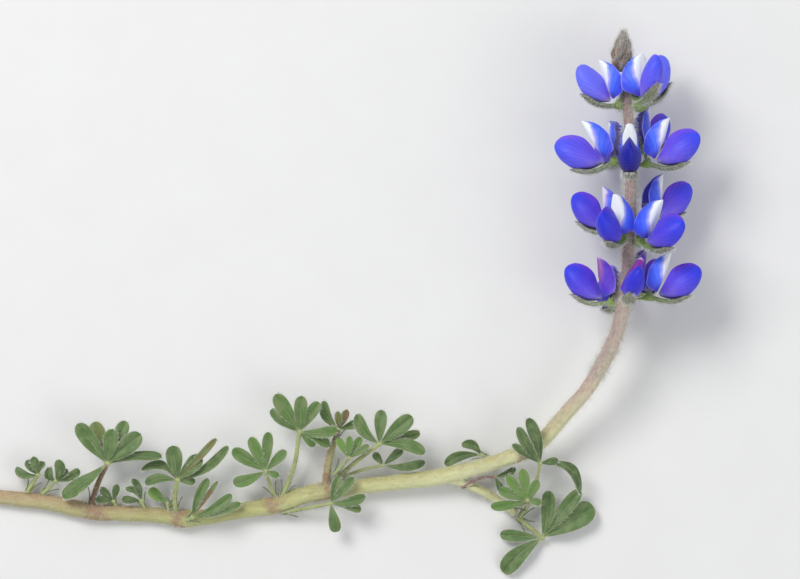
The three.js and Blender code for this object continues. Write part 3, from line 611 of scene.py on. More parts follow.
def banner_colours(tree):
    """The white wedge's half width is a ramp of greys, read as a share of the way across."""
    along = value_of(tree, "along")
    across = math(tree, "ABSOLUTE", value_of(tree, "across"))
    age = value_of(tree, "tone")
    shares = [(0.0, 0.0), (0.15, 0.02), (0.45, 0.3), (0.8, 0.44), (0.91, 0.66), (1.0, 1.0)]
    wedge = ramp(tree, along, [(at, (share, share, share, 1.0)) for at, share in shares])
    uneven = times(tree, skin_noise(tree, (0.5, 0.9, 1.0)), 0.12)
    past = less(tree, less(tree, across, wedge), uneven)
    fresh = shades(tree, past, (0.0, 132, 146, 250), (0.15, 84, 122, 250), (0.4, 64, 92, 238),
                   (0.8, 54, 62, 206))
    lobes = mix(tree, age, fresh, srgb(98, 48, 196))
    white = mix(tree, age, srgb(238, 241, 242), srgb(126, 38, 152))
    border = mix(tree, age, srgb(178, 168, 242), srgb(122, 46, 186))
    colour = mix(tree, rise(tree, past, -0.09, 0.0), white, border)
    colour = mix(tree, rise(tree, past, -0.03, 0.12), colour, lobes)
    # Painted shade: the banner darkens to deep blue towards its claw, where it sits behind the wings and
    # the calyx.
    colour = mix(tree, rise(tree, along, 0.22, 0.04), colour, srgb(78, 74, 202))
    veins = times(tree, vein_fan(tree, BANNER_VEINS, 0.35), rise(tree, past, 0.0, 0.2))
    colour = tinted(tree, colour, veins, 0.3, srgb(44, 40, 190))
    colour = tinted(tree, colour, rise(tree, along, 0.9, 1.0), age, srgb(214, 184, 232))
    back = mix(tree, 0.5, colour, srgb(108, 100, 222))
    colour = mix(tree, value_of(tree, "back"), colour, back)
    colour = tinted(tree, colour, rise(tree, across, 0.93, 1.0), 0.45, srgb(178, 182, 248))
    return colour, bump(tree, veins, 0.25, 0.0002)


banner_skin = finish("banner_petal", banner_colours, **PETAL)

# %% [markdown]
# ## The colours of wings and keel
# The wings are violet with a purple ridge and an azure nose, and a few flowers have them deep blue
# or indigo; on the deepest, painted shade darkens them to purple towards the claw. The keel inside is
# pale with a dark beak. A material for each flower would make eighteen to keep alike; here the
# flower's own deepness is a number that one finish reads.
# %% Wing and keel finish
WING_VEINS = 9.0


def wing_colours(tree):
    """Violet to azure from claw to nose, then ridge, blush, the flower's deepness with painted shade,
    veins and rim.
    """
    along = value_of(tree, "along")
    down = value_of(tree, "across")
    deep = value_of(tree, "tone")
    upper = shades(tree, along, (0.0, 206, 196, 236), (0.12, 146, 112, 234), (0.4, 112, 78, 234),
                   (0.7, 74, 72, 236), (1.0, 40, 72, 242))
    lower = shades(tree, along, (0.0, 216, 208, 240), (0.15, 164, 142, 240), (0.45, 128, 102, 242),
                   (0.8, 74, 74, 234), (1.0, 44, 68, 236))
    colour = mix(tree, rise(tree, down, 0.2, 0.8), upper, lower)
    ridge = times(tree, rise(tree, down, 0.2, 0.0), rise(tree, along, 0.2, 0.6))
    colour = tinted(tree, colour, ridge, 0.75, srgb(152, 76, 222))
    blush = rise(tree, skin_noise(tree, (0.3, 0.5, 1.0)), 0.4, 0.7)
    colour = tinted(tree, colour, blush, 0.4, srgb(78, 84, 240))
    young = times(tree, rise(tree, deep, 0.2, 0.0), rise(tree, along, 0.1, 0.5))
    colour = tinted(tree, colour, young, 0.65, srgb(118, 128, 250))
    aged = math(tree, "MULTIPLY", deep, 1.25, clamp=True)
    colour = mix(tree, aged, colour, srgb(20, 8, 186))
    # The deepest flowers' wings are deep blue at the nose, their own colour, and painted darker purple
    # towards the claw as painted shade deep in the flower.
    indigo_and_painted_shade = mix(tree, rise(tree, along, 0.5, 0.95), srgb(30, 14, 104), srgb(8, 18, 150))
    colour = tinted(tree, colour, rise(tree, deep, 0.6, 0.9), 0.95, indigo_and_painted_shade)
    main = times(tree, vein_fan(tree, WING_VEINS, 0.22), rise(tree, along, 0.95, 0.6))
    fine = times(tree, vein_fan(tree, 2 * WING_VEINS, 0.3), rise(tree, along, 0.2, 0.5))
    veins = math(tree, "ADD", times(tree, main, 0.6), times(tree, fine, 0.3), clamp=True)
    colour = tinted(tree, colour, veins, 0.6, srgb(54, 30, 172))
    rim = times(tree, rise(tree, down, 0.955, 1.0), rise(tree, along, 0.75, 0.5))
    colour = tinted(tree, colour, rim, 0.7, mix(tree, deep, srgb(206, 184, 240), srgb(40, 14, 96)))
    inside = mix(tree, 0.5, colour, srgb(150, 130, 236))
    return mix(tree, value_of(tree, "back"), colour, inside), bump(tree, veins, 0.35, 0.0002)


def keel_colours(tree):
    """Cream at the claw, lilac past the middle and nearly black at the beak."""
    colour = shades(tree, value_of(tree, "along"), (0.0, 214, 218, 190), (0.6, 206, 196, 226),
                    (0.85, 110, 70, 170), (1.0, 48, 20, 90))
    return colour, None


wing_skin = finish("wing_petal", wing_colours, **PETAL)
keel_skin = finish("keel_petal", keel_colours, **PETAL)

# %% [markdown]
# ## Calyx, buds and hairs
# The calyx is brown at its foot, then yellow-green, and grey with silk at the end of its lip. The
# buds are grey-brown under their silk, with dark red patches. Silk could be left to the hairs alone,
# but a sheen below them needs fewer. The hairs are clear and look white against the light.
# %% Calyx, bud and hair finishes
def calyx_colours(tree):
    """Brown, green and grey from the foot to the tips, with pale silky patches."""
    patches = skin_noise(tree, (0.6, 1.0, 1.0), detail=4.0)
    colour = shades(tree, value_of(tree, "along"), (0.0, 150, 130, 106), (0.22, 134, 164, 66),
                    (0.4, 126, 152, 74), (0.7, 112, 122, 88), (1.0, 112, 104, 92))
    colour = tinted(tree, colour, rise(tree, patches, 0.45, 0.75), 0.4, srgb(150, 160, 120))
    return colour, bump(tree, patches, 0.5, 0.0002)


def bud_colours(tree):
    """Grey-brown under pale streaks of silk, with dark red patches."""
    silk = skin_noise(tree, (0.4, 4.0, 4.0), detail=4.0)
    patches = skin_noise(tree, (0.4, 0.4, 0.4))
    colour = mix(tree, rise(tree, silk, 0.35, 0.65), srgb(100, 92, 80), srgb(160, 152, 142))
    colour = tinted(tree, colour, rise(tree, patches, 0.5, 0.68), 0.7, srgb(124, 66, 62))
    return colour, bump(tree, silk, 0.6, 0.0003)


def hair_colours(tree):
    """Each hair's tone picks a white between cream and clear."""
    colour = mix(tree, value_of(tree, "tone"), srgb(226, 224, 208), srgb(250, 250, 246))
    return colour, None


calyx_skin = finish("calyx_skin", calyx_colours, Roughness=0.6, Sheen_Weight=0.3, Sheen_Roughness=0.4)
bud_skin = finish("bud_skin", bud_colours, Roughness=0.7, Sheen_Weight=0.4, Sheen_Roughness=0.4)
hair_skin = finish("hair_skin", hair_colours, Roughness=0.35, Transmission_Weight=0.25, IOR=1.45)

# %% [markdown]
# ## The stem
# A path of places with a radius at each gives the main stem and its two side shoots. A
# curve with a bevel would make the same tube; rings worked out here can also be ribbed, swell at the
# leaf joints and flatten where they touch the table.
# %% Stem tables
MAIN_STEM = [
    [-4.5, 20.7, 1.6, 1.85], [4, 19.7, 1.62, 1.9], [12, 18.8, 1.7, 2.0], [17.5, 17.6, 1.8, 2.1],
    [22.5, 16.6, 1.85, 2.15], [30, 16.1, 1.68, 1.95], [41.2, 15.4, 1.74, 2.0], [45, 14.8, 2.0, 2.3],
    [50, 15.1, 1.8, 2.0], [60, 16.8, 2.1, 1.95], [69.2, 18.4, 2.3, 2.3], [76, 20.8, 2.5, 2.2],
    [82.2, 21.9, 2.8, 2.35], [89.2, 22.8, 3.1, 2.0], [100, 24.1, 3.7, 2.0], [110, 25.4, 4.4, 2.15],
    [118.7, 27.5, 5.3, 2.0], [127, 30.1, 6.5, 1.95], [131.7, 32, 7.2, 2.15], [136, 34.9, 8.3, 1.95],
    [139, 38.3, 9.4, 1.9], [142.7, 42.6, 10.9, 1.85], [146.7, 47.2, 12.5, 1.85],
    [149.8, 52.3, 13.8, 1.85], [152.3, 57, 14.7, 1.85], [154.1, 61.2, 15.4, 1.8],
    [155.5, 66.8, 16.1, 1.8], [156.1, 71, 16.5, 1.75], [156.8, 78, 16.6, 1.5],
    [157.1, 83.5, 16.6, 1.6], [157.5, 90, 16.6, 1.45], [157.6, 97, 16.6, 1.4],
    [157.5, 103, 16.6, 1.5], [157.3, 110, 16.6, 1.3], [157, 116, 16.6, 1.25],
    [156.5, 121, 16.6, 1.3], [155.6, 125.9, 16.6, 1.05],
]
YOUNG_SHOOT = [
    [81.6, 21.8, 2.8, 1.3], [81.6, 25.2, 3.6, 1.05], [82.5, 31, 5, 0.95], [83.7, 34.6, 5.9, 0.75],
]
LOW_BRANCH = [
    [111, 25.4, 4.4, 1.3], [118.5, 22.8, 3.3, 1.25], [124.2, 19.6, 2.2, 1.1], [129, 16.2, 1.7, 1.15],
]
SPIKE_START = 60.0


def spike_centre(y):
    """The place on the spike's centre line at a height on the plan, straight between its places."""
    spike = np.array([row for row in MAIN_STEM if row[1] >= SPIKE_START])
    return placed([np.interp(y, spike[:, 1], spike[:, 0]), y, np.interp(y, spike[:, 1], spike[:, 2])])


print("places:", len(MAIN_STEM), len(YOUNG_SHOOT), len(LOW_BRANCH), "spike at 100:", spike_centre(100.0))

# %% [markdown]
# ## Ribs on the stem
# A fresh stem has fine ribs along it and is never quite even. Bump could draw the ribs, but it leaves
# the outline smooth, so the radius itself changes a little round each ring and along the stem.
# %% Stem surfaces
ROUND_SHARE = 0.97
STEM_RIBS = 9
RIB_DEPTH = 0.018
RIB_DRIFT = 0.05


def stem_tube(places, steps, sides, along_range):
    """A ribbed tube: each ring's radius is the line's own, times 1 plus a small sine of the turn
    whose phase drifts along the stem, plus slow waves that make it a little uneven."""
    centres, radii, distance = line_through(places, steps)
    turn = full_turn(sides)[None]
    way = distance[:, None]
    ribs = RIB_DEPTH * np.sin(STEM_RIBS * turn + RIB_DRIFT * way)
    waves = 0.02 * np.sin(0.9 * way + 2 * turn) + 0.015 * np.sin(2.3 * way - turn)
    grid, spokes = tube_grid(centres, ROUND_SHARE * radii[:, None] * (1 + ribs + waves), sides)
    along = np.interp(distance, [0, distance[-1]], along_range)
    return tube_part(grid, distance, along), grid, spokes


main_tube, main_grid, main_spokes = stem_tube(MAIN_STEM, 420, 36, (0.0, 1.0))
shoot_tube, shoot_grid, shoot_spokes = stem_tube(YOUNG_SHOOT, 50, 24, (0.1, 0.16))
branch_tube, branch_grid, branch_spokes = stem_tube(LOW_BRANCH, 60, 24, (0.5, 0.54))
make_piece("stem_with_shoots", [(0, main_tube), (0, shoot_tube), (0, branch_tube)], [stem_skin],
           ["stem"])
print("stem triangles:", made_pieces["stem_with_shoots"])

# %% [markdown]
# ## Where each flower sits
# A pea flower is easiest to draw in its own three directions: outward from the spike, upward along
# it, and sideways. Eighteen flowers could be copies of one, but then all would look alike. They share
# one drawing, and a table gives what sets each apart: where it stands, how it is turned, how far its
# banner folds back, its age and how deep its wings' blue is. Its lengths are in millimetres and its
# angles in degrees, and the other numbers are shares.
# %% Flower table and frame
FLOWER_USUAL = dict(size=0.9, fold=88, roll=0, lean=0, slim=1.0, age=0.0, deep=0.3)
FLOWERS = {
    "1a": dict(y=70, reach=4.4, around=180, tilt=22, size=0.92, age=0.9),
    "1b": dict(y=70.4, reach=4.2, around=80, tilt=20, roll=-20, age=1.0, deep=0.55),
    "1c": dict(y=71.2, reach=7.4, around=5, tilt=12, size=0.95, deep=0.25),
    "1d": dict(y=72.4, reach=4.6, around=-52, tilt=14, age=0.8),
    "1e": dict(y=69.2, reach=4.6, around=-111, tilt=6, age=0.7, deep=0.4),
    "2a": dict(y=87.7, reach=5.2, around=196, tilt=25, age=0.3),
    "2b": dict(y=85.6, reach=4.6, around=116, tilt=7, roll=-4, size=1, fold=84, deep=0.45),
    "2c": dict(y=84.6, reach=4.9, around=42, tilt=3, size=1),
    "2d": dict(y=90.6, reach=6.4, around=-24, tilt=21, size=0.93, age=0.1, deep=0.2),
    "2e": dict(y=86, reach=5.1, around=-94, tilt=4, age=0.3, deep=0.4),
    "3a": dict(y=104.7, reach=5.4, around=180, tilt=0, size=1, deep=0.12),
    "3b": dict(y=103, reach=4.9, around=92, tilt=5, size=1.03, deep=0.9),
    "3c": dict(y=104.5, reach=5.6, around=12, tilt=12, size=0.98, deep=0.15),
    "3d": dict(y=107.8, reach=5.2, around=-50, tilt=22, age=0.1, deep=0.2),
    "3e": dict(y=105.4, reach=4.8, around=-118, tilt=5),
    "4a": dict(y=119.3, reach=3.2, around=163, tilt=26, size=0.93, fold=58, lean=-14, slim=0.8,
               deep=0.0),
    "4b": dict(y=119.8, reach=5.7, around=57, tilt=38, roll=-3, size=0.95, fold=52, lean=-6, slim=0.9,
               deep=0.12),
    "4c": dict(y=119.2, reach=4.6, around=-25, tilt=47, lean=-4, size=0.93, fold=75, deep=0.05),
}
print("flowers:", len(FLOWERS), "whorls:", len({name[0] for name in FLOWERS}))


def flower_frame(flower):
    """A function from (out, up, side) in the flower's own millimetres to a place: the flower's base
    plus each number times its direction. The base is `reach` from the spike at the angle `around`;
    `tilt` turns outward up the spike and `roll` turns the flower about outward."""
    turn, rise_angle, spin = np.radians([flower["around"], flower["tilt"], flower["roll"]])
    radial = np.array([np.cos(turn), 0, np.sin(turn)])
    spike = np.array([0, 1.0, 0])
    outward = np.cos(rise_angle) * radial + np.sin(rise_angle) * spike
    level = np.cos(rise_angle) * spike - np.sin(rise_angle) * radial
    upward = np.cos(spin) * level + np.sin(spin) * np.cross(outward, level)
    sideways = np.cross(outward, upward)
    base = spike_centre(flower["y"]) + flower["reach"] * radial
    axes = flower["size"] * np.stack([outward, upward, sideways])

    def at(out, up, side):
        return base + np.stack(np.broadcast_arrays(out, up, side), -1) @ axes

    return at, axes


# %% [markdown]
# ## Banner
# The banner stands up behind the wings with both sides folded back. A flat petal bent by modifiers
# would need one for each side. It is drawn here as a midline, with the length of each side and a
# share of the flower's fold at a few stations, and its rim is gently waved, as thin petals are.
# %% Banner
BANNER_STATIONS = [0, 0.13, 0.43, 0.74, 0.9, 1]
BANNER_MIDLINE = [[0.95, 0.45], [2.0, 1.65], [4.15, 4.4], [5.75, 7.5], [6.5, 9.05], [6.85, 9.8]]
BANNER_LOBE = [0.8, 3.9, 6.0, 5.4, 3.4, 0.3]
BANNER_CLOSING = [0.3, 0.66, 0.92, 1, 1, 0.5]
BANNER_BEND = 0.45
BANNER_RISE = 5
BANNER_WALL = 0.22
BANNER_LENGTH = 10.0
BANNER_SIDE = 4.0
BANNER_CLAW = 1.0
BANNER_RIPPLE = 0.14
BANNER_GROOVE = 0.2
GROOVE_HALF = 0.06
BANNER_ROWS, BANNER_COLUMNS = 36, 29
BANNER_MIDDLE_COLUMNS = slice(12, 17)


def turned(points, pivot, degrees):
    """Points in a plane turned about a pivot."""
    turn = np.radians(degrees)
    spin = np.array([[np.cos(turn), np.sin(turn)], [-np.sin(turn), np.cos(turn)]])
    return pivot + (np.asarray(points, float) - pivot) @ spin


def banner_part(at, flower, phase):
    """Point (s, w): from the midline's place at s, each side runs out to its lobe's length. In its
    first part it bends through the flower's fold in an arc, side = sin and push = 1 - cos, and the
    rest is straight; then come a groove on the midline and a gentle wave near the rim."""
    pivot = np.array(BANNER_MIDLINE[0])
    lean = flower["lean"]
    back = turned([-1.0, 0.0], np.zeros(2), lean - BANNER_RISE)
    s = rows_to_tip(BANNER_ROWS)
    w = np.linspace(-1, 1, BANNER_COLUMNS)[None]
    middle = turned(smooth(BANNER_STATIONS, BANNER_MIDLINE, s[:, 0]), pivot, lean)[:, None]
    lobe = smooth(BANNER_STATIONS, BANNER_LOBE, s)
    angle = np.radians(flower["fold"]) * smooth(BANNER_STATIONS, BANNER_CLOSING, s)
    radius = BANNER_BEND / angle
    bent = np.minimum(np.abs(w), BANNER_BEND)
    straight = np.abs(w) - bent
    side = lobe * (radius * np.sin(bent / radius) + straight * np.cos(angle))
    push = lobe * (radius * (1 - np.cos(bent / radius)) + straight * np.sin(angle))
    swell = np.sin(np.pi * s)
    ripple = BANNER_RIPPLE * w ** 2 * np.sin(8 * s + phase + np.sign(w) * 1.3) * swell
    groove = BANNER_GROOVE * np.exp(-((w / GROOVE_HALF) ** 2)) * swell
    place = middle + (push + groove)[..., None] * back
    front = at(place[..., 0], place[..., 1], np.sign(w) * (side + ripple))
    away = at(back[0], back[1], 0.0) - at(0.0, 0.0, 0.0)
    normals = sheet_normals(front, away, BANNER_MIDDLE_COLUMNS)
    fan = 0.5 + np.arctan2(w * lobe, BANNER_CLAW + BANNER_LENGTH * s) / 2
    behind = front + BANNER_WALL * normals
    return blade_part(front, behind, s, w, BANNER_LENGTH, BANNER_SIDE, flower["age"], fan)


widest = smooth(BANNER_STATIONS, BANNER_LOBE, rows_to_tip(BANNER_ROWS)).max()
print("each side of a banner reaches", round(widest, 2), "mm from its midline")

# %% [markdown]
# ## Wings and keel
# The two wings meet like cupped hands above and below the keel, which is a slender curved boat hidden
# inside. Sculpting would make each pair different. Here the side outline is a ridge and a lower
# edge, each a smooth curve, and a section between them bulges outward.
# %% Wings and keel
WING_STATIONS = [0, 0.2, 0.45, 0.74, 0.9, 0.975, 1]
WING_RIDGE = [[1.2, 0.1], [3.1, 2.25], [6.1, 5.5], [10.4, 6.2], [12.35, 5.35], [13.25, 4.3], [13.5, 3.6]]
WING_EDGE = [[1.4, -0.8], [3.6, -2.0], [7.0, -2.45], [10.4, -1.2], [12.5, 0.8], [13.3, 2.3], [13.5, 3.1]]
WING_HALF = [0.35, 1.7, 2.65, 2.4, 1.35, 0.55, 0.0]
WING_WAY_DOWN = [0, 0.18, 0.36, 0.6, 0.8, 0.92, 1]
WING_BULGE = [0.0, 0.42, 0.77, 1, 0.85, 0.5, 0.0]
WING_SLIT = 0.02
WING_WALL = 0.16
WING_CLAW = (0.4, -0.5)
WING_LENGTH = 13.0
WING_HEIGHT = 6.0
WING_CREASES = 3.5
CREASE_DEPTH = 0.07
WING_ROWS, WING_COLUMNS = 32, 19
KEEL_STATIONS = [0, 0.35, 0.75, 1]
KEEL_LINE = [[2.4, 0.8], [5.2, -0.2], [8.8, 0.9], [10.9, 3.2]]
KEEL_HALF = [0.25, 0.6, 0.5, 0.08]
KEEL_DEPTH = 1.6
KEEL_LENGTH = 9.0


def wing_part(at, axes, sign, deep, slim):
    """Point (u, q): u from claw to nose, q from ridge to lower edge. The outline point lies straight
    between ridge and edge, and stands off the middle by half thickness x bulge at q, with shallow
    creases that fan out from the claw."""
    u = rows_to_tip(WING_ROWS)
    q = np.linspace(0, 1, WING_COLUMNS)[None]
    ridge = smooth(WING_STATIONS, WING_RIDGE, u)
    ridge[..., 1] *= 1 - (1 - slim) * np.sin(np.pi * u)
    edge = smooth(WING_STATIONS, WING_EDGE, u)
    outline = ridge * (1 - q[..., None]) + edge * q[..., None]
    creases = CREASE_DEPTH * np.sin(2 * np.pi * WING_CREASES * q) * np.sin(np.pi * u) * (1 - 0.6 * u)
    bulge = smooth(WING_STATIONS, WING_HALF, u) * smooth(WING_WAY_DOWN, WING_BULGE, q)
    side = WING_SLIT + bulge + creases
    outer = at(outline[..., 0], outline[..., 1], sign * side)
    normals = sheet_normals(outer, sign * axes[2])
    fan = np.arctan2(outline[..., 1] - WING_CLAW[1], outline[..., 0] - WING_CLAW[0])
    inner = outer - WING_WALL * normals
    return blade_part(outer, inner, u, q, WING_LENGTH, WING_HEIGHT, deep, fan)


def keel_part(at):
    """Rings along the keel's line, in the plane of upward and sideways, deeper than wide."""
    t = np.linspace(0, 1, 22)
    line = smooth(KEEL_STATIONS, KEEL_LINE, t)
    half = smooth(KEEL_STATIONS, KEEL_HALF, t)
    turn = full_turn(14)[None]
    grid = at(line[:, :1] - 0.5 * KEEL_DEPTH * half[:, None] * np.sin(turn) * t[:, None],
              line[:, 1:] + KEEL_DEPTH * half[:, None] * np.sin(turn),
              half[:, None] * np.cos(turn))
    return tube_part(grid, KEEL_LENGTH * t, t)


print("a pair of wings is at most", 2 * (WING_SLIT + max(WING_HALF)), "mm wide before its creases")

# %% [markdown]
# ## Calyx
# Every flower sits in a small green cup on a short stalk, with a long lower lip shaped like a boat
# under the wings and two teeth behind the banner. Cup, lip and teeth are separate bodies that run
# into each other, which is simpler than one sheet with slits and looks the same under the hairs.
# %% Calyx
STALK_DROP = 0.8
CUP_CENTRES = [[-2.6, -0.5], [-1.7, -0.4], [-0.5, -0.35]]
CUP_RADII = [0.55, 0.62, 1.15, 1.32]
LIP_STATIONS = [0, 0.32, 0.66, 1]
LIP_LINE = [[-0.9, -1.0], [2.4, -2.75], [6.0, -3.3], [9.6, -2.3]]
LIP_HALF = [1.1, 1.7, 1.5, 0.06]
LIP_RISE = 1.0
TOOTH_LINE = [[-1.1, 0.1, 0.4], [-1.05, 1.7, 0.6], [-0.4, 4.0, 0.8]]
TOOTH_STATIONS = [0, 0.45, 1]
TOOTH_HALF = [0.6, 0.62, 0.05]
TOOTH_HOLLOW = 0.15
CALYX_WALL = 0.28
CUP_ALONG = 0.35


def calyx_cup(flower, at, axes):
    """Rings in the plane of upward and sideways along the line from the spike through the cup."""
    root = spike_centre(flower["y"] - STALK_DROP)
    centres = np.array([root, *[at(out, up, 0.0) for out, up in CUP_CENTRES]])
    reached = np.concatenate([[0], np.cumsum(np.linalg.norm(np.diff(centres, axis=0), axis=1))])
    s = np.linspace(0, reached[-1], 22)
    line = smooth(reached, centres, s)
    radii = smooth(reached, CUP_RADII, s)[:, None, None]
    turn = full_turn(18)
    spokes = np.sin(turn)[:, None] * axes[1] + np.cos(turn)[:, None] * axes[2]
    grid = line[:, None] + radii * spokes[None]
    share = CUP_ALONG * s / s[-1]
    return tube_part(grid, s, share), grid, np.broadcast_to(unit(spokes), grid.shape)


def calyx_lip(at, axes):
    """Point (s, w): along the lip's line, w x half width sideways, with edges raised by w squared."""
    s = np.linspace(0, 1, 22)[:, None]
    w = np.linspace(-1, 1, 9)[None]
    line = smooth(LIP_STATIONS, LIP_LINE, s[:, 0])
    half = smooth(LIP_STATIONS, LIP_HALF, s[:, 0])[:, None]
    raised = LIP_RISE * w ** 2 * np.minimum(1, half)
    inner = at(line[:, :1], line[:, 1:] + raised, w * half)
    normals = sheet_normals(inner, -axes[1])
    outer = inner + CALYX_WALL * normals
    along = CUP_ALONG + (1 - CUP_ALONG) * s
    return blade_part(outer, inner, along, w, length=10.0, half=1.5), outer, normals


def calyx_tooth(at, axes, sign):
    """Point (s, w): along the tooth's line, w x half width sideways, hollowed by w squared."""
    s = np.linspace(0, 1, 12)[:, None]
    w = np.linspace(-1, 1, 5)[None]
    line = smooth(TOOTH_STATIONS, TOOTH_LINE, s[:, 0])
    half = smooth(TOOTH_STATIONS, TOOTH_HALF, s[:, 0])[:, None]
    inner = at(line[:, :1] - TOOTH_HOLLOW * w ** 2, line[:, 1:2], sign * line[:, 2:] + w * half)
    normals = sheet_normals(inner, -axes[0])
    outer = inner + CALYX_WALL * normals
    return blade_part(outer, inner, 0.4 + 0.6 * s, w, length=4.0, half=0.6), outer, normals


print("the cup is", 2 * CUP_RADII[-1], "mm wide and the lip", 2 * max(LIP_HALF), "mm")

# %% [markdown]
# ## All the flowers
# One loop makes eighteen flowers, each of three pieces: the calyx, the banner and the wings with
# their keel. The hairs of all calyces could be made one calyx at a time; as one mesh they take less
# memory, so their roots are gathered on the way.
# %% Make the flowers
CUP_HAIRS, LIP_HAIRS, EDGE_HAIRS, TOOTH_HAIRS = 110, 330, 80, 50
spike_hairs = []


def silk(grid, facing, lean, count, length, low=(0.0, 0.0), high=(1.0, 1.0), spread=0.35):
    """Roots on a grid, with directions between its outward side and a common lean, and lengths
    spread by a third either way."""
    roots, out = scatter(grid, facing, count, low, high)
    directions = unit(out + lean + chance.normal(0, spread, (count, 3)))
    return roots, directions, length * chance.uniform(0.65, 1.3, count)


for name, own in FLOWERS.items():
    flower = {**FLOWER_USUAL, **own}
    at, axes = flower_frame(flower)
    outward, upward = unit(axes[0]), unit(axes[1])
    cup, cup_grid, cup_facing = calyx_cup(flower, at, axes)
    lip, lip_grid, lip_facing = calyx_lip(at, axes)
    teeth = [calyx_tooth(at, axes, sign) for sign in (1, -1)]
    calyx = [(0, body) for body in (cup, lip, teeth[0][0], teeth[1][0])]
    make_piece(f"calyx_{name}", calyx, [calyx_skin])
    spike_hairs += [
        silk(*wrapped(cup_grid, cup_facing), 0.5 * outward, CUP_HAIRS, 1.0, low=(0.3, 0)),
        silk(lip_grid, lip_facing, 0.8 * outward, LIP_HAIRS, 1.15),
        silk(lip_grid, lip_facing, 0.5 * outward, EDGE_HAIRS, 0.9, low=(0, 0.94)),
        silk(lip_grid, lip_facing, 0.5 * outward, EDGE_HAIRS, 0.9, high=(1, 0.06)),
        *[silk(grid, facing, 0.6 * upward, TOOTH_HAIRS, 0.8) for _, grid, facing in teeth],
    ]
    banner = banner_part(at, flower, chance.uniform(0, 6))
    make_piece(f"banner_{name}", [(0, banner)], [banner_skin], [f"flower_{name}_banner"])
    wings = [(0, wing_part(at, axes, sign, flower["deep"], flower["slim"])) for sign in (1, -1)]
    make_piece(f"wings_{name}", wings + [(1, keel_part(at))], [wing_skin, keel_skin],
               [f"flower_{name}_wings"])
print("triangles of a banner:", made_pieces["banner_1a"], "of its wings:", made_pieces["wings_1a"])

# %% [markdown]
# ## Bud cluster
# The tip of the spike is a tight cone of unopened buds, each a pointed body in grey silk. One lumpy
# cone would lack the dark gaps between them, so each bud is a body of its own, and they stand on a
# small core in rings that close towards the tip.
# %% Bud cluster
BUD_BASE = placed([155.1, 126.7, 16.6])
BUD_TIP = placed([156, 137, 16.6])
BUD_CORE = [[0.0, 0.9], [0.2, 1.9], [0.5, 1.9], [0.75, 1.2], [0.92, 0.3]]
BUD_RINGS = [
    dict(along=0.03, count=5, length=4.6, reach=1.35, lean=0.75, girth=1.45),
    dict(along=0.24, count=5, length=4.9, reach=1.55, lean=0.7, girth=1.5),
    dict(along=0.48, count=4, length=4.3, reach=1.25, lean=0.4, girth=1.25),
    dict(along=0.64, count=3, length=3.8, reach=0.7, lean=0.1, girth=0.95),
]
BUD_DRAW_IN = 0.45
BUD_RADIUS = 0.62
BUD_ROWS = 20
BUD_HAIRS = 190

bud_axis = BUD_TIP - BUD_BASE
bud_up = unit(bud_axis)
bud_side = unit(np.array([1.0, 0, 0]) - bud_up[0] * bud_up)
bud_depth = np.cross(bud_side, bud_up)


def round_bud(ring, turn):
    """A pointed body: its centre line leaves the axis by reach plus a bulge and draws in to the tip,
    and its radius rises quickly from the base and falls to a point."""
    t = np.linspace(0.02, 0.995, BUD_ROWS)
    away = ring["reach"] + ring["lean"] * np.sin(np.pi * t) - BUD_DRAW_IN * ring["reach"] * t
    out = np.cos(turn) * bud_side + np.sin(turn) * bud_depth
    square = np.cross(bud_up, out)
    height = ring["along"] * np.linalg.norm(bud_axis) + t * ring["length"]
    centre = BUD_BASE + height[:, None] * bud_up + away[:, None] * out
    radius = BUD_RADIUS * ring["girth"] * np.sin(np.pi * t ** 0.75) ** 0.7
    angle = full_turn(12)[None, :, None]
    spokes = np.cos(angle) * out + np.sin(angle) * square
    spokes = np.broadcast_to(spokes, (len(t), *spokes.shape[1:]))
    return centre[:, None] + radius[:, None, None] * spokes, spokes, ring["length"] * t


bud_hairs = []
core = np.array(BUD_CORE)
core_t = np.linspace(0, core[-1, 0], BUD_ROWS)
core_angle = full_turn(16)[None, :, None]
core_grid = (BUD_BASE + core_t[:, None, None] * bud_axis
             + smooth(core[:, 0], core[:, 1], core_t)[:, None, None]
             * (np.cos(core_angle) * bud_side + np.sin(core_angle) * bud_depth))
bud_parts = [(0, tube_part(core_grid, 10 * core_t, core_t))]
for row, ring in enumerate(BUD_RINGS):
    for k in range(ring["count"]):
        grid, spokes, distance = round_bud(ring, 2 * np.pi * (k + 0.5 * row) / ring["count"])
        bud_parts.append((0, tube_part(grid, distance + 10 * k, np.linspace(0, 1, BUD_ROWS))))
        bud_hairs.append(silk(*wrapped(grid, spokes), 1.6 * bud_up, BUD_HAIRS, 1.25, low=(0.05, 0)))
make_piece("buds", bud_parts, [bud_skin], ["bud_cluster"])
print("bud triangles:", made_pieces["buds"])

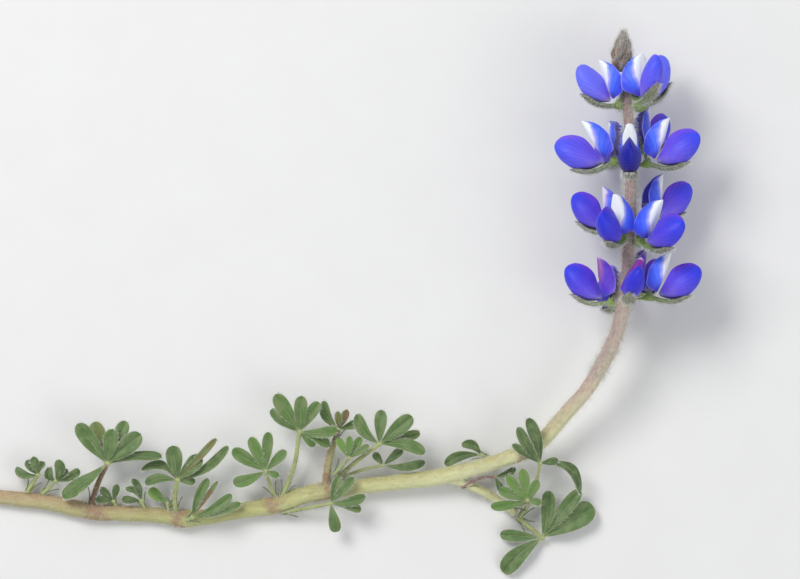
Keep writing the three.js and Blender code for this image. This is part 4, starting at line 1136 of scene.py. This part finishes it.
# %% [markdown]
# ## Leaves
# A lupin leaf is a hand of leaflets on one stalk. One leaf could be copied and turned twenty times,
# but on a real stem no two are alike, so all twenty come from one table. A stalk's row is a place on
# the plan. A leaflet's row is its tip's place and its width, then, where
# it needs them, its roll in degrees, its sideways bow and its own colour number, which picks its
# green, or brown where it is withered.
# %% Leaf table
GREEN, DEEP, BRIGHT, WITHERED = 0.45, 0.2, 0.85, 1.0
PALE_STALK, BROWN_STALK, PINK_STALK = 0.4, 0.8, 1.0
LEAF_USUAL = dict(girth=0.5, tone=DEEP, skin=PALE_STALK)
LEAVES = {
    "end_left": dict(
        stalk=[[6.6, 21.9, 2.6], [8, 24.2, 3.6], [9.1, 25.8, 4.6]], girth=0.6,
        leaflets=[[3.4, 27.3, 3.4, 2.6, 30, 1], [6.2, 29.4, 5.6, 2.4, 10], [8, 30.4, 6, 2.2],
                  [10.7, 29.1, 5.4, 2.4, -30, 0.5]]),
    "end_right": dict(
        stalk=[[10.4, 21.4, 2.8], [12.2, 22.9, 3.2], [13.5, 24.2, 3.8]],
        leaflets=[[11.6, 27.6, 4.4, 2.6, 20, 0.8], [14.5, 29.6, 5, 2.8, 0, -0.6],
                  [16.4, 27.2, 3.6, 2.4, -20], [19.6, 26.9, 3.2, 2.4, -10, -0.5]]),
    "tall_left": dict(
        stalk=[[22.6, 19, 2.6], [24, 23.2, 4.8], [26.6, 28.7, 8]],
        girth=0.72, tone=GREEN, skin=BROWN_STALK,
        leaflets=[[19.2, 38.7, 10.5, 4.2], [23.4, 39.2, 9.2, 4, 0, 0, 0.95], [28, 37.4, 10.6, 3.8],
                  [31.3, 39.4, 9.4, 3.6], [35, 36.2, 10.4, 4.6], [40.3, 30.5, 8.6, 3, -35, 0.8],
                  [15.4, 20.3, 5.6, 4.2, 30, 0.4]]),
    "low_left": dict(
        stalk=[[28.4, 18.4, 2.4], [28, 19.2, 3.1]],
        leaflets=[[23.6, 19.7, 3.6, 2], [24.9, 22.6, 4.6, 2], [29, 23.4, 4.2, 1.9]]),
    "low_middle": dict(
        stalk=[[35.6, 17.9, 2.4], [35, 19.3, 3.2]],
        leaflets=[[30.2, 19.7, 3.2, 2.1], [31.2, 22.6, 4.4, 1.9, 0, -1],
                  [32.9, 24.9, 4.8, 1.9, 0, -0.6]]),
    "node_tall": dict(
        stalk=[[43.6, 17.2, 3.2], [43.5, 20.6, 5], [44.2, 24.5, 6.8]], girth=0.68, tone=GREEN,
        leaflets=[[43, 33.2, 9, 4.2], [50.2, 30.5, 8.4, 4, -15], [57, 32.9, 7.2, 2.8, -30, -1.5],
                  [54, 35, 9.6, 1.8, 0, 0, 0.97], [35.2, 27.3, 6.4, 2.6, 20, -2.4],
                  [36, 23.9, 6, 2.8, 20, -0.8], [48.6, 24.2, 6.6, 2]]),
    "node_low": dict(
        stalk=[[41.8, 17, 2.4], [41.6, 18.6, 2.9]], tone=BRIGHT,
        leaflets=[[37, 22.2, 2.9, 2.8]]),
    "node_front": dict(
        stalk=[[46.7, 14.6, 4], [47.8, 15.1, 5.1]], girth=0.6, tone=0.6,
        leaflets=[[51.8, 25, 7.6, 2.6, 20, 0.5], [54.3, 24.3, 6.8, 1.3, 0, 0, WITHERED],
                  [57.8, 20.8, 6.2, 2.7, 0, -0.8], [60, 18.7, 5.8, 2.4, -20, -0.5]]),
    "star_left": dict(
        stalk=[[68.6, 20.6, 3], [67.2, 23.8, 4.6], [66.3, 26.8, 6]], tone=0.7,
        leaflets=[[58, 32.2, 7.6, 3.4], [62.5, 35.3, 8, 3], [67, 36.6, 8, 2.8],
                  [71.4, 31.9, 6.6, 2.6, -15], [58.2, 23.7, 5.6, 3.2, 15, 0.5],
                  [69.6, 25.6, 6.6, 1.8]]),
    "tall_middle": dict(
        stalk=[[70.6, 20.8, 3.2], [73.4, 28, 5.6], [74.8, 36.7, 8.6]], girth=0.62, tone=0.6,
        leaflets=[[68.8, 46.1, 10.6, 3.8], [67.6, 42.2, 7.6, 2.8, 20, 0.5], [75.3, 45.7, 11, 3.4],
                  [79.6, 44.2, 10.2, 3], [84.3, 37, 9.6, 3, -20, -0.5],
                  [82.3, 33.2, 8.8, 2.8, -10, 0.6], [78.6, 33.1, 8.6, 2]]),
    "shoot_top": dict(
        stalk=[[83.9, 35.1, 6], [84.7, 37.2, 6.6]], girth=0.55, tone=GREEN, skin=BROWN_STALK,
        leaflets=[[80.6, 44.3, 7.4, 2.8, 0, 1], [86.8, 42.2, 8.4, 2, 0, 0, WITHERED],
                  [84.4, 41.8, 9, 1.7, 0, 0, 0.96], [90, 38.9, 6.2, 2.4, -20]]),
    "fan_right": dict(
        stalk=[[83.8, 24.6, 4.4], [89, 29.2, 6.6], [94.8, 33.6, 8.6]], girth=0.62, tone=0.5,
        leaflets=[[89, 41, 10, 3.2, 0, 1], [95.3, 42.2, 10.4, 3.2], [103, 40.6, 10, 4],
                  [106.3, 31.6, 9, 3.4, -15, 1], [105, 36.4, 7.2, 2.6]]),
    "fan_bright": dict(
        stalk=[[83.8, 26.4, 6], [87.2, 30.1, 8.6]], girth=0.48, tone=BRIGHT,
        leaflets=[[84.4, 35.2, 9.6, 2], [87.4, 35.6, 10, 1.9], [90.2, 35.3, 8.8, 2],
                  [92.2, 33.3, 9.2, 1.9]]),
    "fan_under": dict(
        stalk=[[84.7, 24.9, 3.2], [90, 26.9, 4.2], [95.8, 28.3, 4.8]], girth=0.45,
        leaflets=[[106.3, 29, 5, 2.4, 0, -0.8], [100.6, 32.4, 5.4, 2.2], [93.4, 31.4, 5.2, 2]]),
    "below_middle": dict(
        stalk=[[70.6, 16.4, 2.6], [76.4, 17.4, 4], [82.6, 18.7, 6]], tone=0.5,
        leaflets=[[84.6, 25.4, 7.2, 2.4, 10], [88.4, 25.2, 7.4, 2.4, -10],
                  [91.3, 20.4, 6.8, 2.6, 0, -0.5], [90.2, 17, 6, 2.4, 0, 0.5], [84, 11.5, 4.8, 3]]),
    "bright_right": dict(
        stalk=[[128.6, 18, 2.8], [131, 18.6, 5], [132, 19.5, 7.2]], tone=0.8,
        leaflets=[[122.8, 17.9, 7.4, 2.6, 10, 0.4], [124.8, 22.2, 8.4, 2.8], [126.8, 25.6, 9, 2.6],
                  [130.7, 27.4, 9.4, 2.8], [134.6, 24.6, 8.8, 2.4], [135.4, 19, 7.6, 2]]),
    "lowest_right": dict(
        stalk=[[129.9, 14.8, 2.1], [132.8, 12.4, 2.2], [135.7, 10, 2.2]], girth=0.65, tone=0.5,
        leaflets=[[125.2, 10.8, 1.2, 3], [125.8, 1.4, 0.5, 4.8, 0, -0.6], [148.6, 17.8, 1.6, 6.2],
                  [145.2, 22, 3.4, 3.6], [137.4, 21.8, 4, 3.8, 0, -0.5]]),
    "bend_right": dict(
        stalk=[[130.4, 15.6, 3.2], [133.6, 21, 4.6], [134.6, 26, 7], [135.2, 28.8, 9]],
        leaflets=[[129.4, 37.8, 13.4, 2.8, 10, 0.4], [132.2, 40.2, 14, 3.2, -10, -0.6],
                  [128.2, 33.6, 11.8, 2], [145.2, 21.4, 6.2, 3, -20, 3.4], [139.6, 29.6, 9.4, 2]]),
    "above_right": dict(
        stalk=[[121.8, 30.4, 4.4], [120.4, 30.8, 4.2]], girth=0.42,
        leaflets=[[115.6, 33.8, 4.8, 2.6, 0, -1], [111.2, 28.6, 3.6, 2.8, 0, -1]]),
    "strand_right": dict(
        stalk=[[115.8, 22.9, 4.4], [120, 25, 4.8], [123.8, 25.4, 5.2]],
        girth=0.42, skin=PINK_STALK,
        leaflets=[[129, 27.4, 5.2, 1.9, 0, -0.4], [125.8, 21.6, 4.6, 1.8]]),
}
print("leaves:", len(LEAVES), "leaflets:", sum(len(leaf["leaflets"]) for leaf in LEAVES.values()))

# %% [markdown]
# ## Leaflets
# Each leaflet is narrow at the hub and blunt at the tip, folded up along its midrib and arched over
# its length. A bent plane could be posed by hand for each; a formula that runs from the hub to any
# tip makes all of them, and gives each a wave of its own.
# %% Leaflets
LEAFLET_WIDEST = 0.72
LEAFLET_LEAST = 0.12
LEAFLET_ARCH = 0.07
LEAFLET_FOLD = 0.42
LEAFLET_CURL = 0.16
LEAFLET_WAVE = 0.1
LEAFLET_WALL = 0.2
LEAFLET_ROWS, LEAFLET_COLUMNS = 26, 13
RIB_GROOVE = 0.1
MIDRIB_DEPTH = 0.22


def leaflet_share(s):
    """Half width as a share of the largest: s to the 1.1 times (1 - s) to the 0.42, over the same at
    the widest place."""
    def shape(t):
        return t ** 1.1 * (1 - t) ** 0.42

    return np.maximum(shape(s) / shape(LEAFLET_WIDEST), LEAFLET_LEAST * (1 - s) ** 0.3)


def leaflet_part(hub, row, tone):
    """Point (s, w): along the line from hub to tip, raised by an arch and bent sideways by a sine of
    s, then w x half width across, with both edges folded up and gently waved. The lower face is a
    wall's thickness below, and deeper under the midrib."""
    tip_x, tip_y, tip_z, width, roll, bow = (*row, 0, 0)[:6]
    reach = placed([tip_x, tip_y, tip_z]) - hub
    length = np.linalg.norm(reach)
    forward = reach / length
    level = unit(np.cross([0, 0, 1.0], forward))
    upright = unit(np.cross(forward, level))
    turn = np.radians(roll)
    side = np.cos(turn) * level + np.sin(turn) * upright
    top = np.cos(turn) * upright - np.sin(turn) * level
    s = rows_to_tip(LEAFLET_ROWS)[..., None] * 0.998  # stops just short of the sharp end
    w = np.linspace(-1, 1, LEAFLET_COLUMNS)[None, :, None]
    swell = np.sin(np.pi * s)
    half = 0.5 * width * leaflet_share(np.maximum(s, 0.001))
    phase = chance.uniform(0, 2 * np.pi, 2)
    wave = LEAFLET_WAVE * np.sin(11 * s + np.where(w > 0, phase[0], phase[1])) * w ** 2
    rib = -RIB_GROOVE * np.exp(-((w / 0.1) ** 2))
    fold = LEAFLET_FOLD * (np.sqrt(w ** 2 + 0.01) - 0.1) / 0.905  # a V, rounded, 1 at the edge
    curl = -LEAFLET_CURL * w ** 4
    front = (hub + forward * s * length + upright * LEAFLET_ARCH * length * swell + level * bow * swell
             + side * w * half + top * half * (fold + wave + curl + rib))
    normals = sheet_normals(front, top)
    wall = LEAFLET_WALL + MIDRIB_DEPTH * np.exp(-((w / 0.12) ** 2)) * (1 - 0.7 * s)
    body = blade_part(front, front - wall * normals, s[..., 0], w[..., 0], length, 0.5 * width, tone)
    return body, front, normals, side, forward


print("half width near the hub, as a share of the largest:", round(float(leaflet_share(0.1)), 2))

# %% [markdown]
# ## Leaf stalks, hubs and stipules
# The stalk is a thin tapered tube. Where it meets the stem two narrow stipules run beside it, as on
# every lupin, and where the leaflets meet it swells into a small pale hub. Tubes, domes and blades
# that stand in each other are enough here: a merged skin would show no more under the hairs.
# %% Make the leaves
TONE_SPREAD = 0.08
STALK_HAIRS_PER_MM = 22
EDGE_HAIRS_PER_MM = 5.5
STALK_ROWS = 24
STALK_SHARE = 0.92
STALK_ROOT = 0.5
STALK_TAPER = (1.08, 0.88)
HUB_SHARE = 1.15
HUB_SQUEEZE = 0.6
STIPULE_LENGTH = 4.2
STIPULE_HALF = 0.42
STIPULE_SPREAD = 1.4
STIPULE_OFF = 0.7
STIPULE_WALL = 0.2
leaf_hairs = []


def hub_part(centre, radius, tone):
    """A low dome: a ball squeezed to a share of its height."""
    polar = np.linspace(0.05, np.pi - 0.05, 10)[:, None]
    turn = full_turn(16)[None]
    ball = np.stack(np.broadcast_arrays(np.sin(polar) * np.cos(turn), np.sin(polar) * np.sin(turn),
                                        HUB_SQUEEZE * np.cos(polar)), -1)
    grid = centre + radius * ball
    return tube_part(grid, np.linspace(0, 2 * radius, 10), np.linspace(0.8, 1, 10), tone)


def stipule_part(root, direction, outward, tone):
    """A narrow pointed blade that leaves its root along the stalk and spreads outward."""
    s = np.linspace(0, 0.995, 12)[:, None, None]
    w = np.linspace(-1, 1, 5)[None, :, None]
    across = unit(np.cross(direction, outward))
    half = STIPULE_HALF * (1 - s) ** 0.7
    front = (root + direction * s * STIPULE_LENGTH + outward * STIPULE_SPREAD * s ** 2
             + across * w * half + outward * 0.2 * w ** 2)
    back = front - STIPULE_WALL * sheet_normals(front, -outward)
    return blade_part(front, back, s[..., 0], w[..., 0], STIPULE_LENGTH, STIPULE_HALF, tone)


for name, own in LEAVES.items():
    leaf = {**LEAF_USUAL, **own}
    start, after = np.array(leaf["stalk"][0]), np.array(leaf["stalk"][1])
    rooted = [start - STALK_ROOT * unit(after - start), *leaf["stalk"][1:]]
    places = [[x, y, z, leaf["girth"]] for x, y, z in rooted]
    centres, radii, distance = line_through(places, STALK_ROWS)
    hub = centres[-1]
    taper = np.linspace(*STALK_TAPER, STALK_ROWS)
    stalk_grid, stalk_spokes = tube_grid(centres, STALK_SHARE * radii * taper, 14)
    parts = [(1, tube_part(stalk_grid, distance, np.linspace(0, 1, STALK_ROWS), leaf["skin"])),
             (1, hub_part(hub, HUB_SHARE * leaf["girth"], min(leaf["skin"], 0.5)))]
    first = unit(centres[3] - centres[0])
    beside = unit(np.cross(first, [0, 0, 1.0]))
    for sign in (1, -1):
        root = centres[0] + sign * beside * STIPULE_OFF * leaf["girth"]
        parts.append((0, stipule_part(root, first, sign * beside, DEEP)))
    stalk_hairs = int(STALK_HAIRS_PER_MM * distance[-1])
    leaf_hairs.append(silk(*wrapped(stalk_grid, stalk_spokes), 0.3 * first, stalk_hairs, 1.1))
    for row in leaf["leaflets"]:
        tone = row[6] if len(row) > 6 else leaf["tone"] + chance.uniform(-TONE_SPREAD, TONE_SPREAD)
        body, front, normals, side, forward = leaflet_part(hub, row, tone)
        parts.append((0, body))
        count = int(EDGE_HAIRS_PER_MM * np.linalg.norm(front[-1, 6] - front[0, 6]))
        for low, high, sense in (((0.15, 0.97), (1, 1), 1), ((0.15, 0.0), (1, 0.03), -1)):
            lean = 1.2 * sense * side + 0.8 * forward
            leaf_hairs.append(silk(front, 0.4 * normals, lean, count, 0.75, low, high, 0.3))
    make_piece(f"leaf_of_{name}", parts, [leaf_skin, stalk_skin], [f"leaf_{name}"])
print("leaf triangles:", sum(made_pieces[f"leaf_of_{name}"] for name in LEAVES))

# %% [markdown]
# ## Hairs on the stem
# Long soft hairs stand out all round the flower stalk and the young shoot, and shorter ones lie
# along the creeping stem, thicker at the leaf joints. Painted fur would leave the outline bare, so
# they are spines of their own, and a table says how many grow on which stretch.
# %% Make the hairs
STEM_HAIRS = [  # how many, their length, their lean along the stem, and the shares of it from and to
    (1500, 0.8, 0.0, 0.0, 0.55), (1800, 1.4, 0.0, 0.5, 0.72), (5200, 2.0, 0.2, 0.68, 1.0),
    (3200, 1.0, 0.1, 0.68, 1.0),
]
JOINT_HAIRS = [(160, 1.5, 0.4, joint - 0.012, joint + 0.012) for joint in LEAF_JOINTS]


def make_hairs(name, lots, thickness):
    """One piece from several lots of roots, directions and lengths."""
    roots, directions, lengths = (np.concatenate(each) for each in zip(*lots))
    make_piece(name, [(0, hair_part(roots, directions, lengths, thickness))], [hair_skin])
    print(name, "hairs:", len(roots))


def stem_silk(count, length, lean, start, end):
    """Hairs all round one stretch of the main stem, from a row of the table."""
    return silk(*wrapped(main_grid, main_spokes), lean * main_line, count, length, (start, 0), (end, 1))


main_line = unit(main_grid[-1].mean(0) - main_grid[-2].mean(0))
stem_hairs = [
    *[stem_silk(*row) for row in STEM_HAIRS],
    silk(*wrapped(shoot_grid, shoot_spokes), 0.3 * main_line, 500, 1.4),
    silk(*wrapped(branch_grid, branch_spokes), 0 * main_line, 380, 0.9),
    *[stem_silk(*row) for row in JOINT_HAIRS],
]
make_hairs("stem_hairs", stem_hairs, thickness=0.03)
make_hairs("calyx_hairs", spike_hairs, thickness=0.026)
make_hairs("bud_hairs", bud_hairs, thickness=0.024)
make_hairs("leaf_hairs", leaf_hairs, thickness=0.025)

# %% [markdown]
# ## Table and light
# The table is a plain pale plane. One hard lamp would give the petals black shadows; a large soft
# light from the upper left models them, a weaker one opposite opens the shadows, and a pale world
# fills the rest.
# %% Stage and lights
TABLE_SIZE = 4.0
ROOM_COLOUR = (0.9, 0.93, 1.0, 1)
ROOM_STRENGTH = 0.55
table_mesh = bpy.data.meshes.new("table_top")
corner = TABLE_SIZE / 2
table_corners = [(-corner, -corner, 0), (corner, -corner, 0), (corner, corner, 0), (-corner, corner, 0)]
table_mesh.from_pydata(table_corners, [], [(0, 1, 2, 3)])
table_top = bpy.data.objects.new("table_top", table_mesh)
bpy.context.scene.collection.objects.link(table_top)


def table_colours(tree):
    """Two warm near-whites, mixed by fine noise."""
    place = add(tree, "ShaderNodeTexCoord").outputs["Object"]
    return mix(tree, noise(tree, place, 60.0), srgb(222, 221, 217), srgb(228, 227, 224)), None


table_mesh.materials.append(finish("table_paper", table_colours, Roughness=0.85))


def soft_light(name, place, target, power, size):
    """A square area light that faces its target."""
    data = bpy.data.lights.new(name, "AREA")
    data.energy = power
    data.size = size
    light = bpy.data.objects.new(name, data)
    light.location = place
    direction = np.subtract(target, place)
    light.rotation_euler = Vector(direction).to_track_quat("-Z", "Y").to_euler()
    bpy.context.scene.collection.objects.link(light)


soft_light("key", place=(-0.5, 0.55, 0.9), target=(0, 0, 0), power=9.0, size=0.5)
soft_light("fill", place=(0.8, -0.5, 0.8), target=(0, 0, 0), power=4.0, size=0.9)
world = bpy.data.worlds.new("pale_room")
world.use_nodes = True
background = world.node_tree.nodes["Background"]
background.inputs["Color"].default_value = ROOM_COLOUR
background.inputs["Strength"].default_value = ROOM_STRENGTH
bpy.context.scene.world = world
print("pieces:", len(made_pieces), "triangles:", sum(made_pieces.values()))
